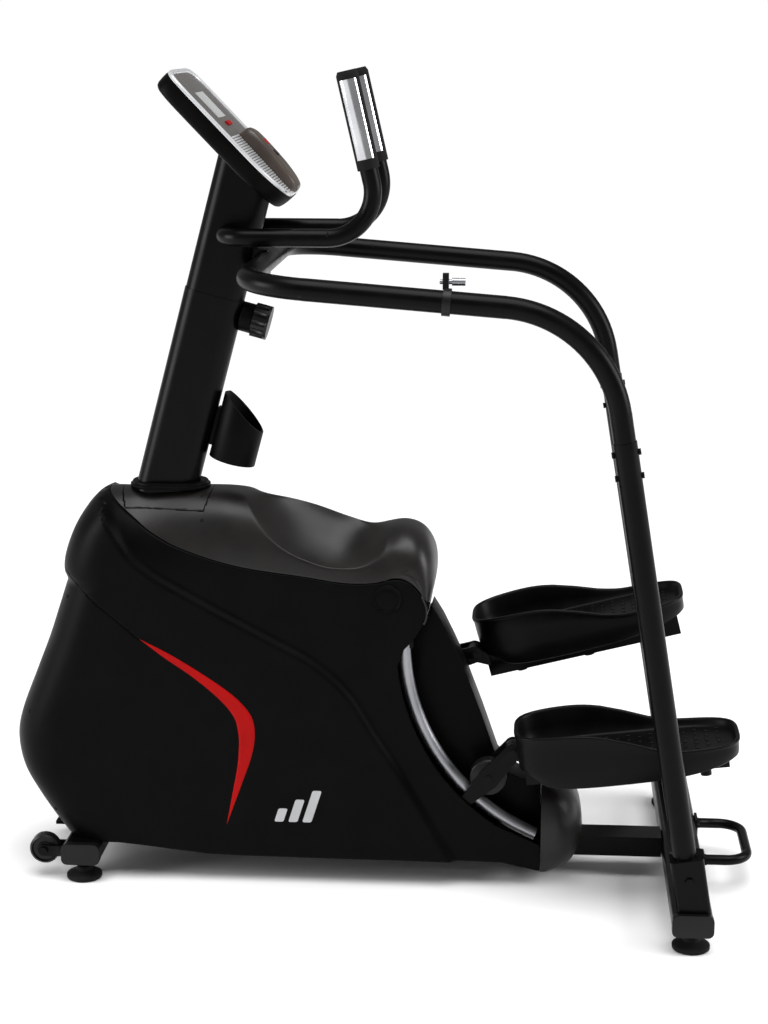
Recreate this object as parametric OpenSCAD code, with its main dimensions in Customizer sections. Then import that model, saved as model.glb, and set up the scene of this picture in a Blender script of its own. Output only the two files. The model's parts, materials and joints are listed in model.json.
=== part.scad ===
// Stair climber with curved guide rails: frame, mast, handrail, housing, carriages, pedals and drive.
// +X points to the user's side, +Y to the user's right, +Z up. The origin is on the floor at the
// centre of the whole machine.

/* [Base] */
// Half of the distance between the two uprights
upright_y = 347; // [330:1:360]
// Length of the rear stabilizer between its end caps
rear_stabilizer_l = 744; // [720:2:760]
// Length of the front stabilizer between its end caps
front_stabilizer_l = 262; // [250:2:280]
// Width of both stabilizers along X
stabilizer_w = 70; // [66:1:74]
// Height of both stabilizers
stabilizer_h = 38; // [36:1:40]
// Height of the underside of the stabilizers above the floor
stabilizer_z = 37; // [36:1:40]
// Where the rear stabilizer stands along X
rear_x = 561; // [555:1:565]
// Where the front stabilizer stands along X
front_x = -554; // [-558:1:-550]
// Diameter of a levelling foot
foot_d = 66; // [60:1:68]
// Radius of a transport wheel
wheel_r = 28; // [26:1:29]

/* [Mast and rails] */
// Lean of the mast from the vertical, in degrees
mast_lean = 15; // [14:0.5:16]
// Long side of the oval lower mast
mast_w = 112; // [110:1:114]
// Short side of the oval lower mast
mast_t = 62; // [60:1:64]
// Diameter of the handrail tube
rail_d = 38; // [36:1:40]
// Diameter of an upright
upright_d = 41; // [41:1:43]
// Diameter of the handlebar tube
bar_d = 32; // [30:1:34]
// Half of the distance between the two grips
bar_y = 105; // [100:1:110]

/* [Housing] */
// Half of the width of the side covers
housing_y = 118; // [116:1:120]
// Wall thickness of the covers
cover_wall = 4; // [3:0.5:5]
// Half of the width of the column between the guide rails
column_y = 38; // [36:1:39]

/* [Climbing gear] */
// Radius of the guide rails' centre line
guide_r = 400; // [398:1:402]
// Radius of a guide rail tube
guide_tube_r = 12; // [11:0.5:12]
// Distance of each guide rail from the middle plane
guide_y = 80; // [80:1:81]
// Radius of the large carriage rollers
roller_r = 34; // [32:1:34]
// Angle that a carriage travels from its lowest to its highest place
climb_angle = 32; // [30:1:33]
// Toe-down tilt of a pedal at its lowest place
low_tilt = 7; // [6:0.5:8]
// Toe-down tilt of a pedal at its highest place
high_tilt = 14.5; // [13:0.5:15]
// Length of a pedal
pedal_l = 400; // [390:5:405]
// Width of a pedal
pedal_w = 186; // [180:2:186]

/* [Hidden] */
$fn = 48;

// Clearance round a shaft that turns in a bore
fit_gap = 0.05;
// How far a straight tube enters a bend, and how much thinner the bend is
weld_lap = 1;
bend_gap = 0.2;
// Top of the stabilizers and of the main beam
deck_z = stabilizer_z + stabilizer_h;
beam_w = 60;
foot_y_rear = upright_y;
foot_y_front = front_stabilizer_l / 2 - 19;
foot_stem_r = 5;
foot_disc_h = 11;
wheel_x = front_x - stabilizer_w / 2 - 37;
wheel_y = 113;
wheel_z = 57;
wheel_w = 24;
axle_r = 4;

// The mast's axis starts at this place on the collar
mast_x = -398;
mast_z = 735;
lower_mast_l = 364;
upper_mast_l = 660;

// The uprights lean backwards towards the floor
upright_lean = 9.5;
upright_top_z = 892;
upright_base_z = deck_z + 6;
upright_base_x = rear_x - (upright_base_z - deck_z) * tan(upright_lean);
upright_run = (upright_top_z - upright_base_z) / cos(upright_lean);
rail_lean = 4.5;
rail_wall = 2;
rail_bend_r = 210;
rail_corner_r = 105;
rail_front_x = -210;
rail_plane = [184, 1115];
rail_turn = 90 - rail_lean - upright_lean;

// The grips lean towards the console
bar_z = 1198;
bar_lean = 13;
bar_knee = [11, bar_z];
bar_bend_r = 80;
bar_corner_r = 42;
grip_l = 172;
grip_d = 39;

// Console: the face starts at its top edge and slopes down towards the user
console_top = [-357, 1475];
console_slope = 46.1;
console_l = 290;
console_y = 125;
console_t = 35;

// Guide rail arc in the XZ plane
arc_x = 445;
arc_z = 465;
rail_inner_r = guide_r - guide_tube_r;
roller_path_r = rail_inner_r - roller_r - 0.5;
guide_roller_r = 11;
guide_path_r = guide_r + guide_tube_r + guide_roller_r + 0.5;
roller_w = 28;
carriage_angle = 226.5;
pivot_angle = 225.6;
pivot_path_r = 284.3;
pivot_r = 7;
pivot_x = arc_x + pivot_path_r * cos(pivot_angle);
pivot_z = arc_z + pivot_path_r * sin(pivot_angle);
plate_t = 6;
plate_gap = roller_w + 4;
pedal_y = 136;
arm_y = 105;
arm_w = 60;
cover_edge_r = 413;
recess_r = 442;

// Drive inside the housing
shaft_x = -95;
shaft_z = 470;
shaft_r = 8;
flywheel_x = -262;
flywheel_z = 272;
flywheel_r = 120;
flywheel_axle_r = 7;
side_plate_y = 46;
brake_pivot = [flywheel_x - 50, flywheel_z + 119];
brake_pin_r = 5;

BLACK = [0.07, 0.07, 0.07];
STEEL_BLACK = [0.09, 0.09, 0.09];
SATIN = [0.12, 0.12, 0.12];
SILVER = [0.75, 0.75, 0.77];
RED = [0.62, 0.02, 0.02];
GREY = [0.35, 0.34, 0.33];

// ---------- shared shapes ----------

// A point on an arc round the guide rails' centre
function arc_point(r, a) = [arc_x + r * cos(a), arc_z + r * sin(a)];

// Points along an arc round any centre
function arc_points(c, r, a0, a1, n) =
    [for (i = [0 : n]) c + r * [cos(a0 + (a1 - a0) * i / n), sin(a0 + (a1 - a0) * i / n)]];

// Keeps or mirrors a left-hand part
module on_side(side) {
    if (side < 0) children();
    else mirror([0, 1, 0]) children();
}

// A flat shape drawn in X and Z, given a thickness between two values of Y
module slab(y0, y1) {
    translate([0, y1, 0]) rotate([90, 0, 0]) linear_extrude(y1 - y0) children();
}

// A flat shape drawn in X and Y, given a height between two values of Z
module plate(z0, z1) {
    translate([0, 0, z0]) linear_extrude(z1 - z0) children();
}

// A shape drawn in Y and Z, swept along X
module bar_x(x0, x1) {
    translate([x0, 0, 0]) rotate([90, 0, 90]) linear_extrude(x1 - x0) children();
}

// A rectangle with round corners, centred
module round_rect(l, w, r) {
    square([l - 2 * r, w], center = true);
    square([l, w - 2 * r], center = true);
    for (x = [-1, 1], y = [-1, 1])
        translate([x * (l / 2 - r), y * (w / 2 - r)]) circle(r);
}

// An oval with straight flanks, its long side along X
module oval(l, w) {
    square([l - w, w], center = true);
    for (x = [-1, 1])
        translate([x * (l - w) / 2, 0]) circle(w / 2);
}

// A cylinder along Y between two values of Y
module rod_y(x, z, r, y0, y1) {
    translate([x, y1, z]) rotate([90, 0, 0]) cylinder(h = y1 - y0, r = r);
}

// A straight tube from a point, along a direction given by its lean from the vertical in XZ
module tube_run(x, y, z, lean, l, d, wall) {
    translate([x, y, z]) rotate([0, lean, 0]) pipe(l, d, wall);
}

// A straight tube along Z that enters the bends at its ends by a little
module pipe(l, d, wall) {
    translate([0, 0, -weld_lap]) difference() {
        cylinder(h = l + 2 * weld_lap, d = d);
        translate([0, 0, -1]) cylinder(h = l + 2 * weld_lap + 2, d = d - 2 * wall);
    }
}

// A tube bend round Z, a hair thinner than the straight tube that it enters
module pipe_bend(r, turn, d, wall) {
    rotate_extrude(angle = turn) translate([r, 0]) difference() {
        circle(d / 2 - bend_gap);
        circle(d / 2 - wall + bend_gap);
    }
}

// A tube bend in the XZ plane round a centre
module tube_bend(x, y, z, r, a0, turn, d, wall) {
    translate([x, y, z]) rotate([90, 0, 0]) rotate([0, 0, a0]) pipe_bend(r, turn, d, wall);
}

// The mast's own frame: Z along the mast, X towards the user
module along_mast(s) {
    translate([mast_x, 0, mast_z]) rotate([0, mast_lean, 0]) translate([0, 0, s]) children();
}

// The console's own frame: X down the face, Y across, Z out of the face
module on_console() {
    translate([console_top[0], 0, console_top[1]]) rotate([0, console_slope, 0]) children();
}

// ---------- base ----------

module stabilizer(x, l, foot_y) {
    difference() {
        translate([x, l / 2, stabilizer_z + stabilizer_h / 2]) rotate([90, 0, 0])
            linear_extrude(l) difference() {
                round_rect(stabilizer_w, stabilizer_h, 10);
                round_rect(stabilizer_w - 5, stabilizer_h - 5, 8);
            }
        for (y = [-foot_y, foot_y])
            translate([x, y, stabilizer_z - 1]) cylinder(h = 5, r = foot_stem_r + fit_gap);
    }
}

module main_frame() {
    color(STEEL_BLACK) {
        bar_x(front_x + stabilizer_w / 2, rear_x - stabilizer_w / 2)
            translate([0, deck_z - stabilizer_h / 2]) difference() {
                square([beam_w, stabilizer_h], center = true);
                square([beam_w - 5, stabilizer_h - 5], center = true);
            }
        // Post that carries the mast
        difference() {
            along_mast(-690) linear_extrude(750) difference() {
                oval(mast_w - 7, mast_t - 7);
                oval(mast_w - 15, mast_t - 15);
            }
            translate([-760, -50, -50]) cube([460, 100, deck_z + 52]);
            // Clear of the front of the housing
            translate([-700, -50, 0]) cube([99, 100, 110]);
        }
        // Foot plate that joins the post, the beam and the front stabilizer
        translate([-622, -42, deck_z]) cube([180, 84, 6]);
    }
}

// Plates bolted to the beam inside the housing: they carry the drive and the guide rails
module drive_bracket() {
    top = deck_z + 0.2;
    color(STEEL_BLACK) {
        for (y = [-side_plate_y - 5, side_plate_y])
            difference() {
                slab(y, y + 5) polygon([[-400, top], [-20, top], [-30, 520], [-120, 540],
                    [-390, 380]]);
                rod_y(shaft_x, shaft_z, shaft_r + fit_gap, y - 1, y + 6);
                rod_y(flywheel_x, flywheel_z, flywheel_axle_r + fit_gap, y - 1, y + 6);
                rod_y(brake_pivot[0], brake_pivot[1], brake_pin_r + fit_gap, y - 1, y + 6);
            }
        for (x = [-380, -60])
            translate([x - 20, -side_plate_y, top]) cube([40, 2 * side_plate_y, 12]);
        // Arms that hold the guide rails
        for (s = [-1, 1]) on_side(s) {
            difference() {
                slab(-guide_y - 6, -guide_y + 6) polygon([[18, 452], [62, 452], [62, 504],
                    [-10, 504], [-60, 486], [-60, 460]]);
                translate([arc_x, -guide_y, arc_z]) rotate([90, 0, 0]) rotate([0, 0, 176])
                    rotate_extrude(angle = 12) translate([guide_r, 0])
                        circle(guide_tube_r + 0.05);
            }
            translate([-65, -guide_y - 6, 462]) cube([20, guide_y + 6 - side_plate_y - 5, 22]);
            slab(-guide_y - 6, -guide_y + 6) polygon([arc_point(guide_r + 13, 247),
                arc_point(guide_r + 13, 240), [240, top], [296, top]]);
            translate([240, -guide_y - 6, top]) cube([50, guide_y + 6, 5]);
        }
        translate([-60, -beam_w / 2, top]) cube([304, beam_w, 5]);
    }
}

module front_stabilizer() {
    color(STEEL_BLACK) {
        stabilizer(front_x, front_stabilizer_l, foot_y_front);
        // Forks for the transport wheels
        for (y = [-wheel_y, wheel_y], s = [-1, 1])
            difference() {
                translate([0, y + s * (wheel_w / 2 + 3.5), 0]) slab(-2, 2) {
                    translate([wheel_x, wheel_z]) circle(11);
                    translate([wheel_x, wheel_z - 11]) square([39.2, 20]);
                }
                rod_y(wheel_x, wheel_z, axle_r, y - wheel_w, y + wheel_w);
            }
    }
}

module upright_socket(y) {
    difference() {
        translate([rear_x - 5, y, deck_z + 45]) rotate([0, -upright_lean, 0])
            translate([0, 0, -60]) linear_extrude(110) round_rect(58, 56, 8);
        tube_core(y, 1);
        translate([rear_x - 60, y - 40, 0]) cube([120, 80, deck_z - 1]);
    }
}

// The solid rod that fills an upright, used to cut its socket
module tube_core(y, gap) {
    translate([upright_base_x, y, upright_base_z]) rotate([0, -upright_lean, 0])
        translate([0, 0, -1.5]) cylinder(h = 300, d = upright_d + 2 * gap * fit_gap);
}

module rear_stabilizer() {
    color(STEEL_BLACK) {
        stabilizer(rear_x, rear_stabilizer_l, foot_y_rear);
        for (y = [-upright_y, upright_y])
            upright_socket(y);
    }
}

module stabilizer_cap(x, y, s) {
    translate([x, y + (s < 0 ? -16 : 0), stabilizer_z + stabilizer_h / 2]) rotate([-90, 0, 0])
        linear_extrude(16) round_rect(stabilizer_w + 2, stabilizer_h + 2, 11);
    translate([x, y + (s < 0 ? 0 : -20), stabilizer_z + stabilizer_h / 2]) rotate([-90, 0, 0])
        linear_extrude(20) round_rect(stabilizer_w - 5.4, stabilizer_h - 5.4, 7.5);
}

module stabilizer_caps() {
    color(BLACK) {
        for (s = [-1, 1]) {
            difference() {
                stabilizer_cap(rear_x, s * rear_stabilizer_l / 2, s);
                translate([rear_x, s * foot_y_rear, 0]) cylinder(h = 80, r = 9);
                translate([rear_x - 50, s > 0 ? 0 : -376, deck_z - 1.2]) cube([100, 376, 10]);
            }
            difference() {
                stabilizer_cap(front_x, s * front_stabilizer_l / 2, s);
                translate([front_x, s * foot_y_front, 0]) cylinder(h = 80, r = 9);
            }
        }
    }
}

module levelling_foot(x, y) {
    color(BLACK) translate([x, y, 0]) rotate_extrude()
        polygon([[0, 0], [foot_d / 2 - 2, 0], [foot_d / 2, 2], [foot_d / 2, foot_disc_h - 3],
            [foot_d / 2 - 5, foot_disc_h], [16, foot_disc_h + 5], [13, foot_disc_h + 12],
            [foot_stem_r, foot_disc_h + 12], [foot_stem_r, stabilizer_z + 24], [0, stabilizer_z + 24]]);
}

module foot_front_left() { levelling_foot(front_x, -foot_y_front); }
module foot_front_right() { levelling_foot(front_x, foot_y_front); }
module foot_rear_left() { levelling_foot(rear_x, -foot_y_rear); }
module foot_rear_right() { levelling_foot(rear_x, foot_y_rear); }

// A U-shaped tube behind the rear stabilizer, for tipping the machine onto its wheels
lift_z = 60;
lift_y = 92;
lift_r = 9.5;
lift_corner_r = 42;
lift_x = 692;
module lift_handle() {
    start_x = rear_x + stabilizer_w / 2;
    color(STEEL_BLACK) {
        for (s = [-1, 1]) {
            translate([start_x + weld_lap, s * lift_y, lift_z]) rotate([0, 90, 0])
                pipe(lift_x - lift_r - lift_corner_r - start_x - weld_lap, 2 * lift_r, 2);
            translate([start_x, s * lift_y - 20, lift_z - 21]) cube([5, 40, 34]);
            translate([lift_x - lift_r - lift_corner_r, s * (lift_y - lift_corner_r), lift_z])
                rotate([0, 0, s < 0 ? -90 : 0]) pipe_bend(lift_corner_r, 90, 2 * lift_r, 2);
        }
        translate([lift_x - lift_r, lift_y - lift_corner_r, lift_z]) rotate([90, 0, 0])
            pipe(2 * (lift_y - lift_corner_r), 2 * lift_r, 2);
    }
}

module transport_wheel(y) {
    color(BLACK) translate([wheel_x, y, wheel_z]) rotate([90, 0, 0]) rotate_extrude()
        polygon([[axle_r + fit_gap, -wheel_w / 2], [12, -wheel_w / 2], [14, -wheel_w / 2 + 4],
            [wheel_r - 6, -wheel_w / 2 + 4], [wheel_r - 4, -wheel_w / 2],
            [wheel_r, -wheel_w / 2 + 3], [wheel_r, wheel_w / 2 - 3], [wheel_r - 4, wheel_w / 2],
            [wheel_r - 6, wheel_w / 2 - 4], [14, wheel_w / 2 - 4], [12, wheel_w / 2],
            [axle_r + fit_gap, wheel_w / 2]]);
}

module wheel_left() { transport_wheel(-wheel_y); }
module wheel_right() { transport_wheel(wheel_y); }

// A hexagonal bolt head, standing towards +Z
module bolt(head_r, head_h) {
    cylinder(h = head_h, r = head_r, $fn = 6);
}

module frame_bolts() {
    color(STEEL_BLACK) {
        // Wheel axles
        for (y = [-wheel_y, wheel_y]) {
            rod_y(wheel_x, wheel_z, axle_r, y - wheel_w / 2 - 9, y + wheel_w / 2 + 9);
            for (s = [-1, 1])
                rod_y(wheel_x, wheel_z, 7, y + s * 20 - 2.5, y + s * 20 + 2.5);
        }
        // Screws that hold the handrail ends in the uprights
        for (y = [-upright_y, upright_y])
            translate([upright_base_x, y, upright_base_z]) rotate([0, -upright_lean, 0])
                for (s = [upright_run - 20, upright_run - 60], side = [-1, 1])
                    translate([side * upright_d / 2, 0, s]) rotate([0, side * 90, 0]) bolt(5.5, 4);
        // Screws through the upright sockets
        for (side = [-1, 1])
            translate([rear_x - 8, side * (upright_y + 28.02), deck_z + 58])
                rotate([side * -90, 0, 0]) bolt(8, 5);
        // Screws that hold the lift handle
        for (y = [-lift_y, lift_y], s = [-1, 1])
            translate([rear_x + stabilizer_w / 2 + 5, y + s * 15, lift_z]) rotate([0, 90, 0])
                bolt(5, 4);
    }
}

// ---------- uprights and handrail ----------

module upright(y) {
    color(STEEL_BLACK)
        tube_run(upright_base_x, y, upright_base_z, -upright_lean, upright_run - 2.2, upright_d, 2);
}

module upright_left() { upright(-upright_y); }
module upright_right() { upright(upright_y); }

// Where the straight side of the handrail would meet the line of the upright
rail_meet_x = 389.7;
rail_meet_z = rail_plane[1] - (rail_meet_x - rail_plane[0]) * tan(rail_lean);
rail_tangent = rail_bend_r * tan(rail_turn / 2);
rail_end = [rail_meet_x + rail_tangent * sin(upright_lean),
    rail_meet_z - rail_tangent * cos(upright_lean)];
rail_start = [rail_meet_x - rail_tangent * cos(rail_lean),
    rail_meet_z + rail_tangent * sin(rail_lean)];
rail_bend_centre = rail_start - rail_bend_r * [sin(rail_lean), cos(rail_lean)];
rail_drop_l = (rail_end[1] - upright_top_z) / cos(upright_lean);
rail_side_l = (rail_start[0] - rail_front_x) / cos(rail_lean) - rail_corner_r;

module handrail_side() {
    translate([0, -upright_y, 0]) {
        // Down to the upright
        tube_run(rail_end[0] + rail_drop_l * sin(upright_lean), 0,
            rail_end[1] - rail_drop_l * cos(upright_lean), -upright_lean, rail_drop_l, rail_d,
            rail_wall);
        tube_bend(rail_bend_centre[0], 0, rail_bend_centre[1], rail_bend_r,
            90 - rail_lean, -rail_turn, rail_d, rail_wall);
        tube_run(rail_start[0], 0, rail_start[1], -90 + rail_lean, rail_side_l, rail_d, rail_wall);
    }
}

module handrail() {
    color(STEEL_BLACK) {
        handrail_side();
        mirror([0, 1, 0]) handrail_side();
        // Front of the loop, drawn level and then tilted with the sides
        translate([rail_start[0], 0, rail_start[1]]) rotate([0, rail_lean, 0])
            translate([-rail_side_l, 0, 0]) {
                for (s = [-1, 1])
                    translate([0, s * (upright_y - rail_corner_r), 0])
                        rotate([0, 0, s < 0 ? 180 : 90])
                            pipe_bend(rail_corner_r, 90, rail_d, rail_wall);
                translate([-rail_corner_r, upright_y - rail_corner_r, 0]) rotate([90, 0, 0])
                    pipe(2 * (upright_y - rail_corner_r), rail_d, rail_wall);
            }
    }
}

// ---------- mast ----------

module mast_lower() {
    color(STEEL_BLACK) along_mast(-25) linear_extrude(lower_mast_l + 25) difference() {
        oval(mast_w, mast_t);
        oval(mast_w - 6, mast_t - 6);
    }
}

module mast_upper() {
    color(STEEL_BLACK) difference() {
        union() {
            along_mast(lower_mast_l) linear_extrude(upper_mast_l - lower_mast_l) difference() {
                oval(mast_w - 3, mast_t - 3);
                oval(mast_w - 9, mast_t - 9);
            }
            // Plug that enters the lower mast
            along_mast(lower_mast_l - 80) linear_extrude(90) difference() {
                oval(mast_w - 8, mast_t - 8);
                oval(mast_w - 14, mast_t - 14);
            }
        }
        on_console() translate([-50, -200, -console_t - 0.1]) cube([500, 400, 400]);
        // Hole that the handlebar passes through
        rod_y(mast_x + (bar_z - mast_z) * tan(mast_lean), bar_z, bar_d / 2 + 0.1, -60, 60);
    }
}

module mast_collar() {
    color(BLACK) difference() {
        translate([-393, 0, 731.3]) {
            linear_extrude(6) oval(148, 96);
            translate([0, 0, 6]) linear_extrude(5) oval(140, 88);
        }
        along_mast(-60) linear_extrude(120) oval(mast_w + 0.6, mast_t + 0.6);
    }
}

// Bracket between the back of the mast and the front of the handrail loop
bracket_s = 430;
module handrail_bracket() {
    color(STEEL_BLACK) difference() {
        union() {
            along_mast(bracket_s) translate([mast_w / 2 - 1.4, -28, -28]) cube([6, 56, 50]);
            slab(-22, 22) polygon([[-236, 1126], [-205, 1122], [-205, 1168], [-231, 1172]]);
        }
        translate([rail_front_x, 60, rail_plane[1] + (rail_plane[0] - rail_front_x) * tan(rail_lean)])
            rotate([90, 0, 0]) cylinder(h = 120, d = rail_d);
        along_mast(300) linear_extrude(400) oval(mast_w - 2.8, mast_t - 2.8);
    }
}

// ---------- resistance dial ----------

dial_s = 338;
dial_r = 31;
dial_h = 30;
module dial_base() {
    color(BLACK) along_mast(dial_s) rotate([0, 90, 0]) translate([0, 0, mast_w / 2]) {
        difference() {
            cylinder(h = 22, r = 27);
            translate([0, 0, 8]) cylinder(h = 20, r = 6 + fit_gap);
        }
    }
}

module resistance_dial() {
    color(SATIN) along_mast(dial_s) rotate([0, 90, 0]) translate([0, 0, mast_w / 2]) {
        translate([0, 0, 22.5]) difference() {
            cylinder(h = dial_h, r = dial_r);
            for (a = [0 : 30 : 330])
                rotate([0, 0, a]) translate([dial_r + 3, 0, -1]) cylinder(h = dial_h - 4, r = 6);
        }
        translate([0, 0, 9]) cylinder(h = 14, r = 6);
    }
}

// ---------- handlebar ----------

bar_x0 = mast_x + (bar_z - mast_z) * tan(mast_lean);
bar_turn = 90 + bar_lean;
bar_tangent = bar_bend_r * tan(bar_turn / 2);
bar_bend_x = bar_knee[0] - bar_tangent;
bar_up = [bar_knee[0] - bar_tangent * sin(bar_lean), bar_z + bar_tangent * cos(bar_lean)];
bar_up_l = 192;
grip_s = bar_up_l - 170;

module handlebar_side() {
    translate([bar_x0 + bar_corner_r, -bar_y + bar_corner_r, bar_z]) rotate([0, 0, 180])
        pipe_bend(bar_corner_r, 90, bar_d, 2);
    translate([bar_x0 + bar_corner_r, -bar_y, bar_z]) rotate([0, 90, 0])
        pipe(bar_bend_x - bar_x0 - bar_corner_r, bar_d, 2);
    tube_bend(bar_bend_x, -bar_y, bar_z + bar_bend_r, bar_bend_r, -90, bar_turn, bar_d, 2);
    tube_run(bar_up[0], -bar_y, bar_up[1], -bar_lean, bar_up_l, bar_d, 2);
}

module handlebar() {
    color(STEEL_BLACK) {
        handlebar_side();
        mirror([0, 1, 0]) handlebar_side();
        translate([bar_x0, bar_y - bar_corner_r, bar_z]) rotate([90, 0, 0])
            pipe(2 * (bar_y - bar_corner_r), bar_d, 2);
    }
}

// The grip's own frame: Z along the grip
module along_grip(side) {
    translate([bar_up[0], side * bar_y, bar_up[1]]) rotate([0, -bar_lean, 0])
        translate([0, 0, grip_s]) children();
}

sensor_l = 138;
module sensor_sector(r, h) {
    intersection() {
        cylinder(h = h, r = r);
        for (s = [-1, 1])
            translate([-r * 0.72, s < 0 ? -r - 1 : r * 0.36, 0]) cube([r * 1.44, r * 0.64 + 1, h]);
    }
}

module handlebar_grips() {
    color(BLACK) for (side = [-1, 1]) along_grip(side) difference() {
        union() {
            cylinder(h = grip_l - 8, d = grip_d);
            translate([0, 0, grip_l - 8]) cylinder(h = 8, d1 = grip_d, d2 = grip_d - 8);
        }
        translate([0, 0, -1]) cylinder(h = 173, d = bar_d + 0.2);
        translate([0, 0, 18]) difference() {
            sensor_sector(grip_d / 2 + 1, sensor_l);
            cylinder(h = 200, d = grip_d - 2.4);
        }
    }
}

module pulse_sensors() {
    color(SILVER) for (side = [-1, 1]) along_grip(side) translate([0, 0, 18]) difference() {
        sensor_sector(grip_d / 2 + 0.4, sensor_l);
        translate([0, 0, -1]) cylinder(h = 200, d = grip_d - 2.4);
    }
}

// ---------- console ----------

// Half of the console's width at a distance down the face
function console_half(u, inset) =
    (u < 190 ? console_y : console_y - 46 * pow((u - 190) / 100, 2)) - inset;

module console_plan(inset) {
    top = inset;
    low = console_l - inset;
    r = 34 - inset;
    right = concat(
        arc_points([top + r, console_half(top, inset) - r], r, 180, 90, 8),
        [for (i = [0 : 8]) let (u = 190 + i * 10) [u, console_half(u, inset)]],
        arc_points([low - 26, console_half(264, inset) - 24], 26, 60, 0, 6));
    left = [for (i = [len(right) - 1 : -1 : 0]) [right[i][0], -right[i][1]]];
    polygon(concat(right, left));
}

module console_back() {
    color(BLACK) on_console() difference() {
        union() {
            translate([0, 0, -20]) linear_extrude(18) console_plan(0);
            translate([0, 0, -28]) linear_extrude(8) console_plan(5);
            translate([0, 0, -console_t]) linear_extrude(8) console_plan(14);
        }
        translate([0, 0, -26]) linear_extrude(30) console_plan(9);
    }
}

module console_bezel() {
    color(SILVER) on_console() difference() {
        translate([0, 0, -2]) linear_extrude(6) console_plan(1);
        translate([0, 0, -3]) linear_extrude(10) console_plan(10);
    }
}

// Openings in the face: x, y, length and width of each key on it
key_rows = [[118, -16, 9, 12], [118, 0, 9, 12], [118, 16, 9, 12]];
display_size = [60, 84];
display_x = 73;
pod_x0 = 146;

module console_face() {
    color(GREY) on_console() difference() {
        translate([0, 0, -3]) linear_extrude(4) console_plan(10.3);
        translate([display_x - display_size[0] / 2, -display_size[1] / 2, -5])
            cube([display_size[0], display_size[1], 10]);
        for (k = key_rows)
            translate([k[0] - k[2] / 2 - 0.4, k[1] - k[3] / 2 - 0.4, -5])
                cube([k[2] + 0.8, k[3] + 0.8, 10]);
    }
}

module console_display() {
    color([0.75, 0.78, 0.76]) on_console()
        translate([display_x - display_size[0] / 2 + 0.3, -display_size[1] / 2 + 0.3, -6])
            cube([display_size[0] - 0.6, display_size[1] - 0.6, 6.4]);
}

module console_pod_outline() {
    polygon(concat(arc_points([pod_x0 + 16, 20], 16, 180, 90, 6), [[console_l - 30, 50]],
        arc_points([console_l - 18, 38], 16, 60, 0, 5),
        arc_points([console_l - 18, -38], 16, 0, -60, 5), [[console_l - 30, -50]],
        arc_points([pod_x0 + 16, -20], 16, -90, -180, 6)));
}

pod_keys = [[188, 0, 12, 20], [214, 0, 12, 20]];
module console_pod() {
    color([0.24, 0.21, 0.2]) on_console() difference() {
        intersection() {
            translate([0, 0, 1]) linear_extrude(30) console_pod_outline();
            slab(-80, 80) polygon([[pod_x0, 0], [console_l, 0], [console_l - 2, 18],
                [console_l - 60, 24], [pod_x0 + 20, 27], [pod_x0, 24]]);
        }
        for (k = pod_keys)
            translate([k[0] - k[2] / 2 - 0.4, k[1] - k[3] / 2 - 0.4, 16])
                cube([k[2] + 0.8, k[3] + 0.8, 20]);
        // Clear of the bezel
        linear_extrude(4.3) difference() {
            console_plan(-20);
            console_plan(10.3);
        }
    }
}

module face_key(i) {
    k = key_rows[i];
    color(RED) on_console() translate([k[0] - k[2] / 2, k[1] - k[3] / 2, -5])
        cube([k[2], k[3], 8.2]);
}

module pod_key(i, tint) {
    k = pod_keys[i];
    color(tint) on_console() translate([k[0] - k[2] / 2, k[1] - k[3] / 2, 20])
        cube([k[2], k[3], 8]);
}

module key_left() { face_key(0); }
module key_middle() { face_key(1); }
module key_right() { face_key(2); }
module start_key() { pod_key(0, RED); }
module select_key() { pod_key(1, SATIN); }

// ---------- accessories ----------

holder_s = 135;
holder_r = 43;
module bottle_holder() {
    color(BLACK) {
        difference() {
            along_mast(holder_s - 60) translate([mast_w / 2 + holder_r + 5, 0, 0])
                difference() {
                    cylinder(h = 120, r = holder_r);
                    translate([0, 0, 4]) cylinder(h = 130, r = holder_r - 3.5);
                }
            // The rim slopes down away from the mast
            along_mast(holder_s - 60) translate([mast_w / 2 - 5, -60, 132]) rotate([0, 35, 0])
                cube([160, 120, 120]);
        }
        along_mast(holder_s - 40) translate([mast_w / 2 + 0.3, -14, 0]) cube([6.5, 28, 70]);
    }
}

clamp_x = 130;
clamp_z = rail_plane[1] - (clamp_x - rail_plane[0]) * tan(rail_lean);
module accessory_clamp() {
    color(BLACK) {
        translate([clamp_x, -upright_y, clamp_z]) rotate([0, 90 + rail_lean, 0]) difference() {
            translate([0, 0, -7]) cylinder(h = 14, r = rail_d / 2 + 4);
            translate([0, 0, -8]) cylinder(h = 16, r = rail_d / 2 + 0.2);
        }
        difference() {
            translate([clamp_x - 7, -upright_y + 4, clamp_z + rail_d / 2 + 1]) cube([10, 16, 26]);
            translate([clamp_x - 10, -upright_y + 12, clamp_z + 32]) rotate([0, 90, 0])
                cylinder(h = 20, r = 4 + fit_gap);
        }
    }
}

module clamp_screw() {
    color(SILVER) translate([clamp_x, -upright_y + 12, clamp_z + 32]) rotate([0, 90, 0]) {
        translate([0, 0, -12]) cylinder(h = 42, r = 4);
        translate([0, 0, 8]) cylinder(h = 22, r = 6.5);
    }
}

// ---------- housing ----------

// Front edge of the side covers, from the top down to the floor side
front_edge = [[-505, 728], [-528, 720], [-550, 690], [-571, 655], [-587, 620], [-594, 587],
    [-589, 562], [-594, 540], [-606, 500], [-625, 445], [-651, 380], [-672, 325], [-688, 285],
    [-692, 258], [-689, 228], [-678, 190], [-655, 150], [-622, 100], [-600, 74]];
bottom_edge = [[-485, 72], [-300, 62], [-108, 55], [78, 52], [226, 50], [299, 34]];
// Seam between the side covers and the saddle cover, from the nose to the front
saddle_seam = [[98, 574], [60, 579], [2, 577], [-89, 582], [-217, 606], [-326, 641], [-453, 694]];

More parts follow.
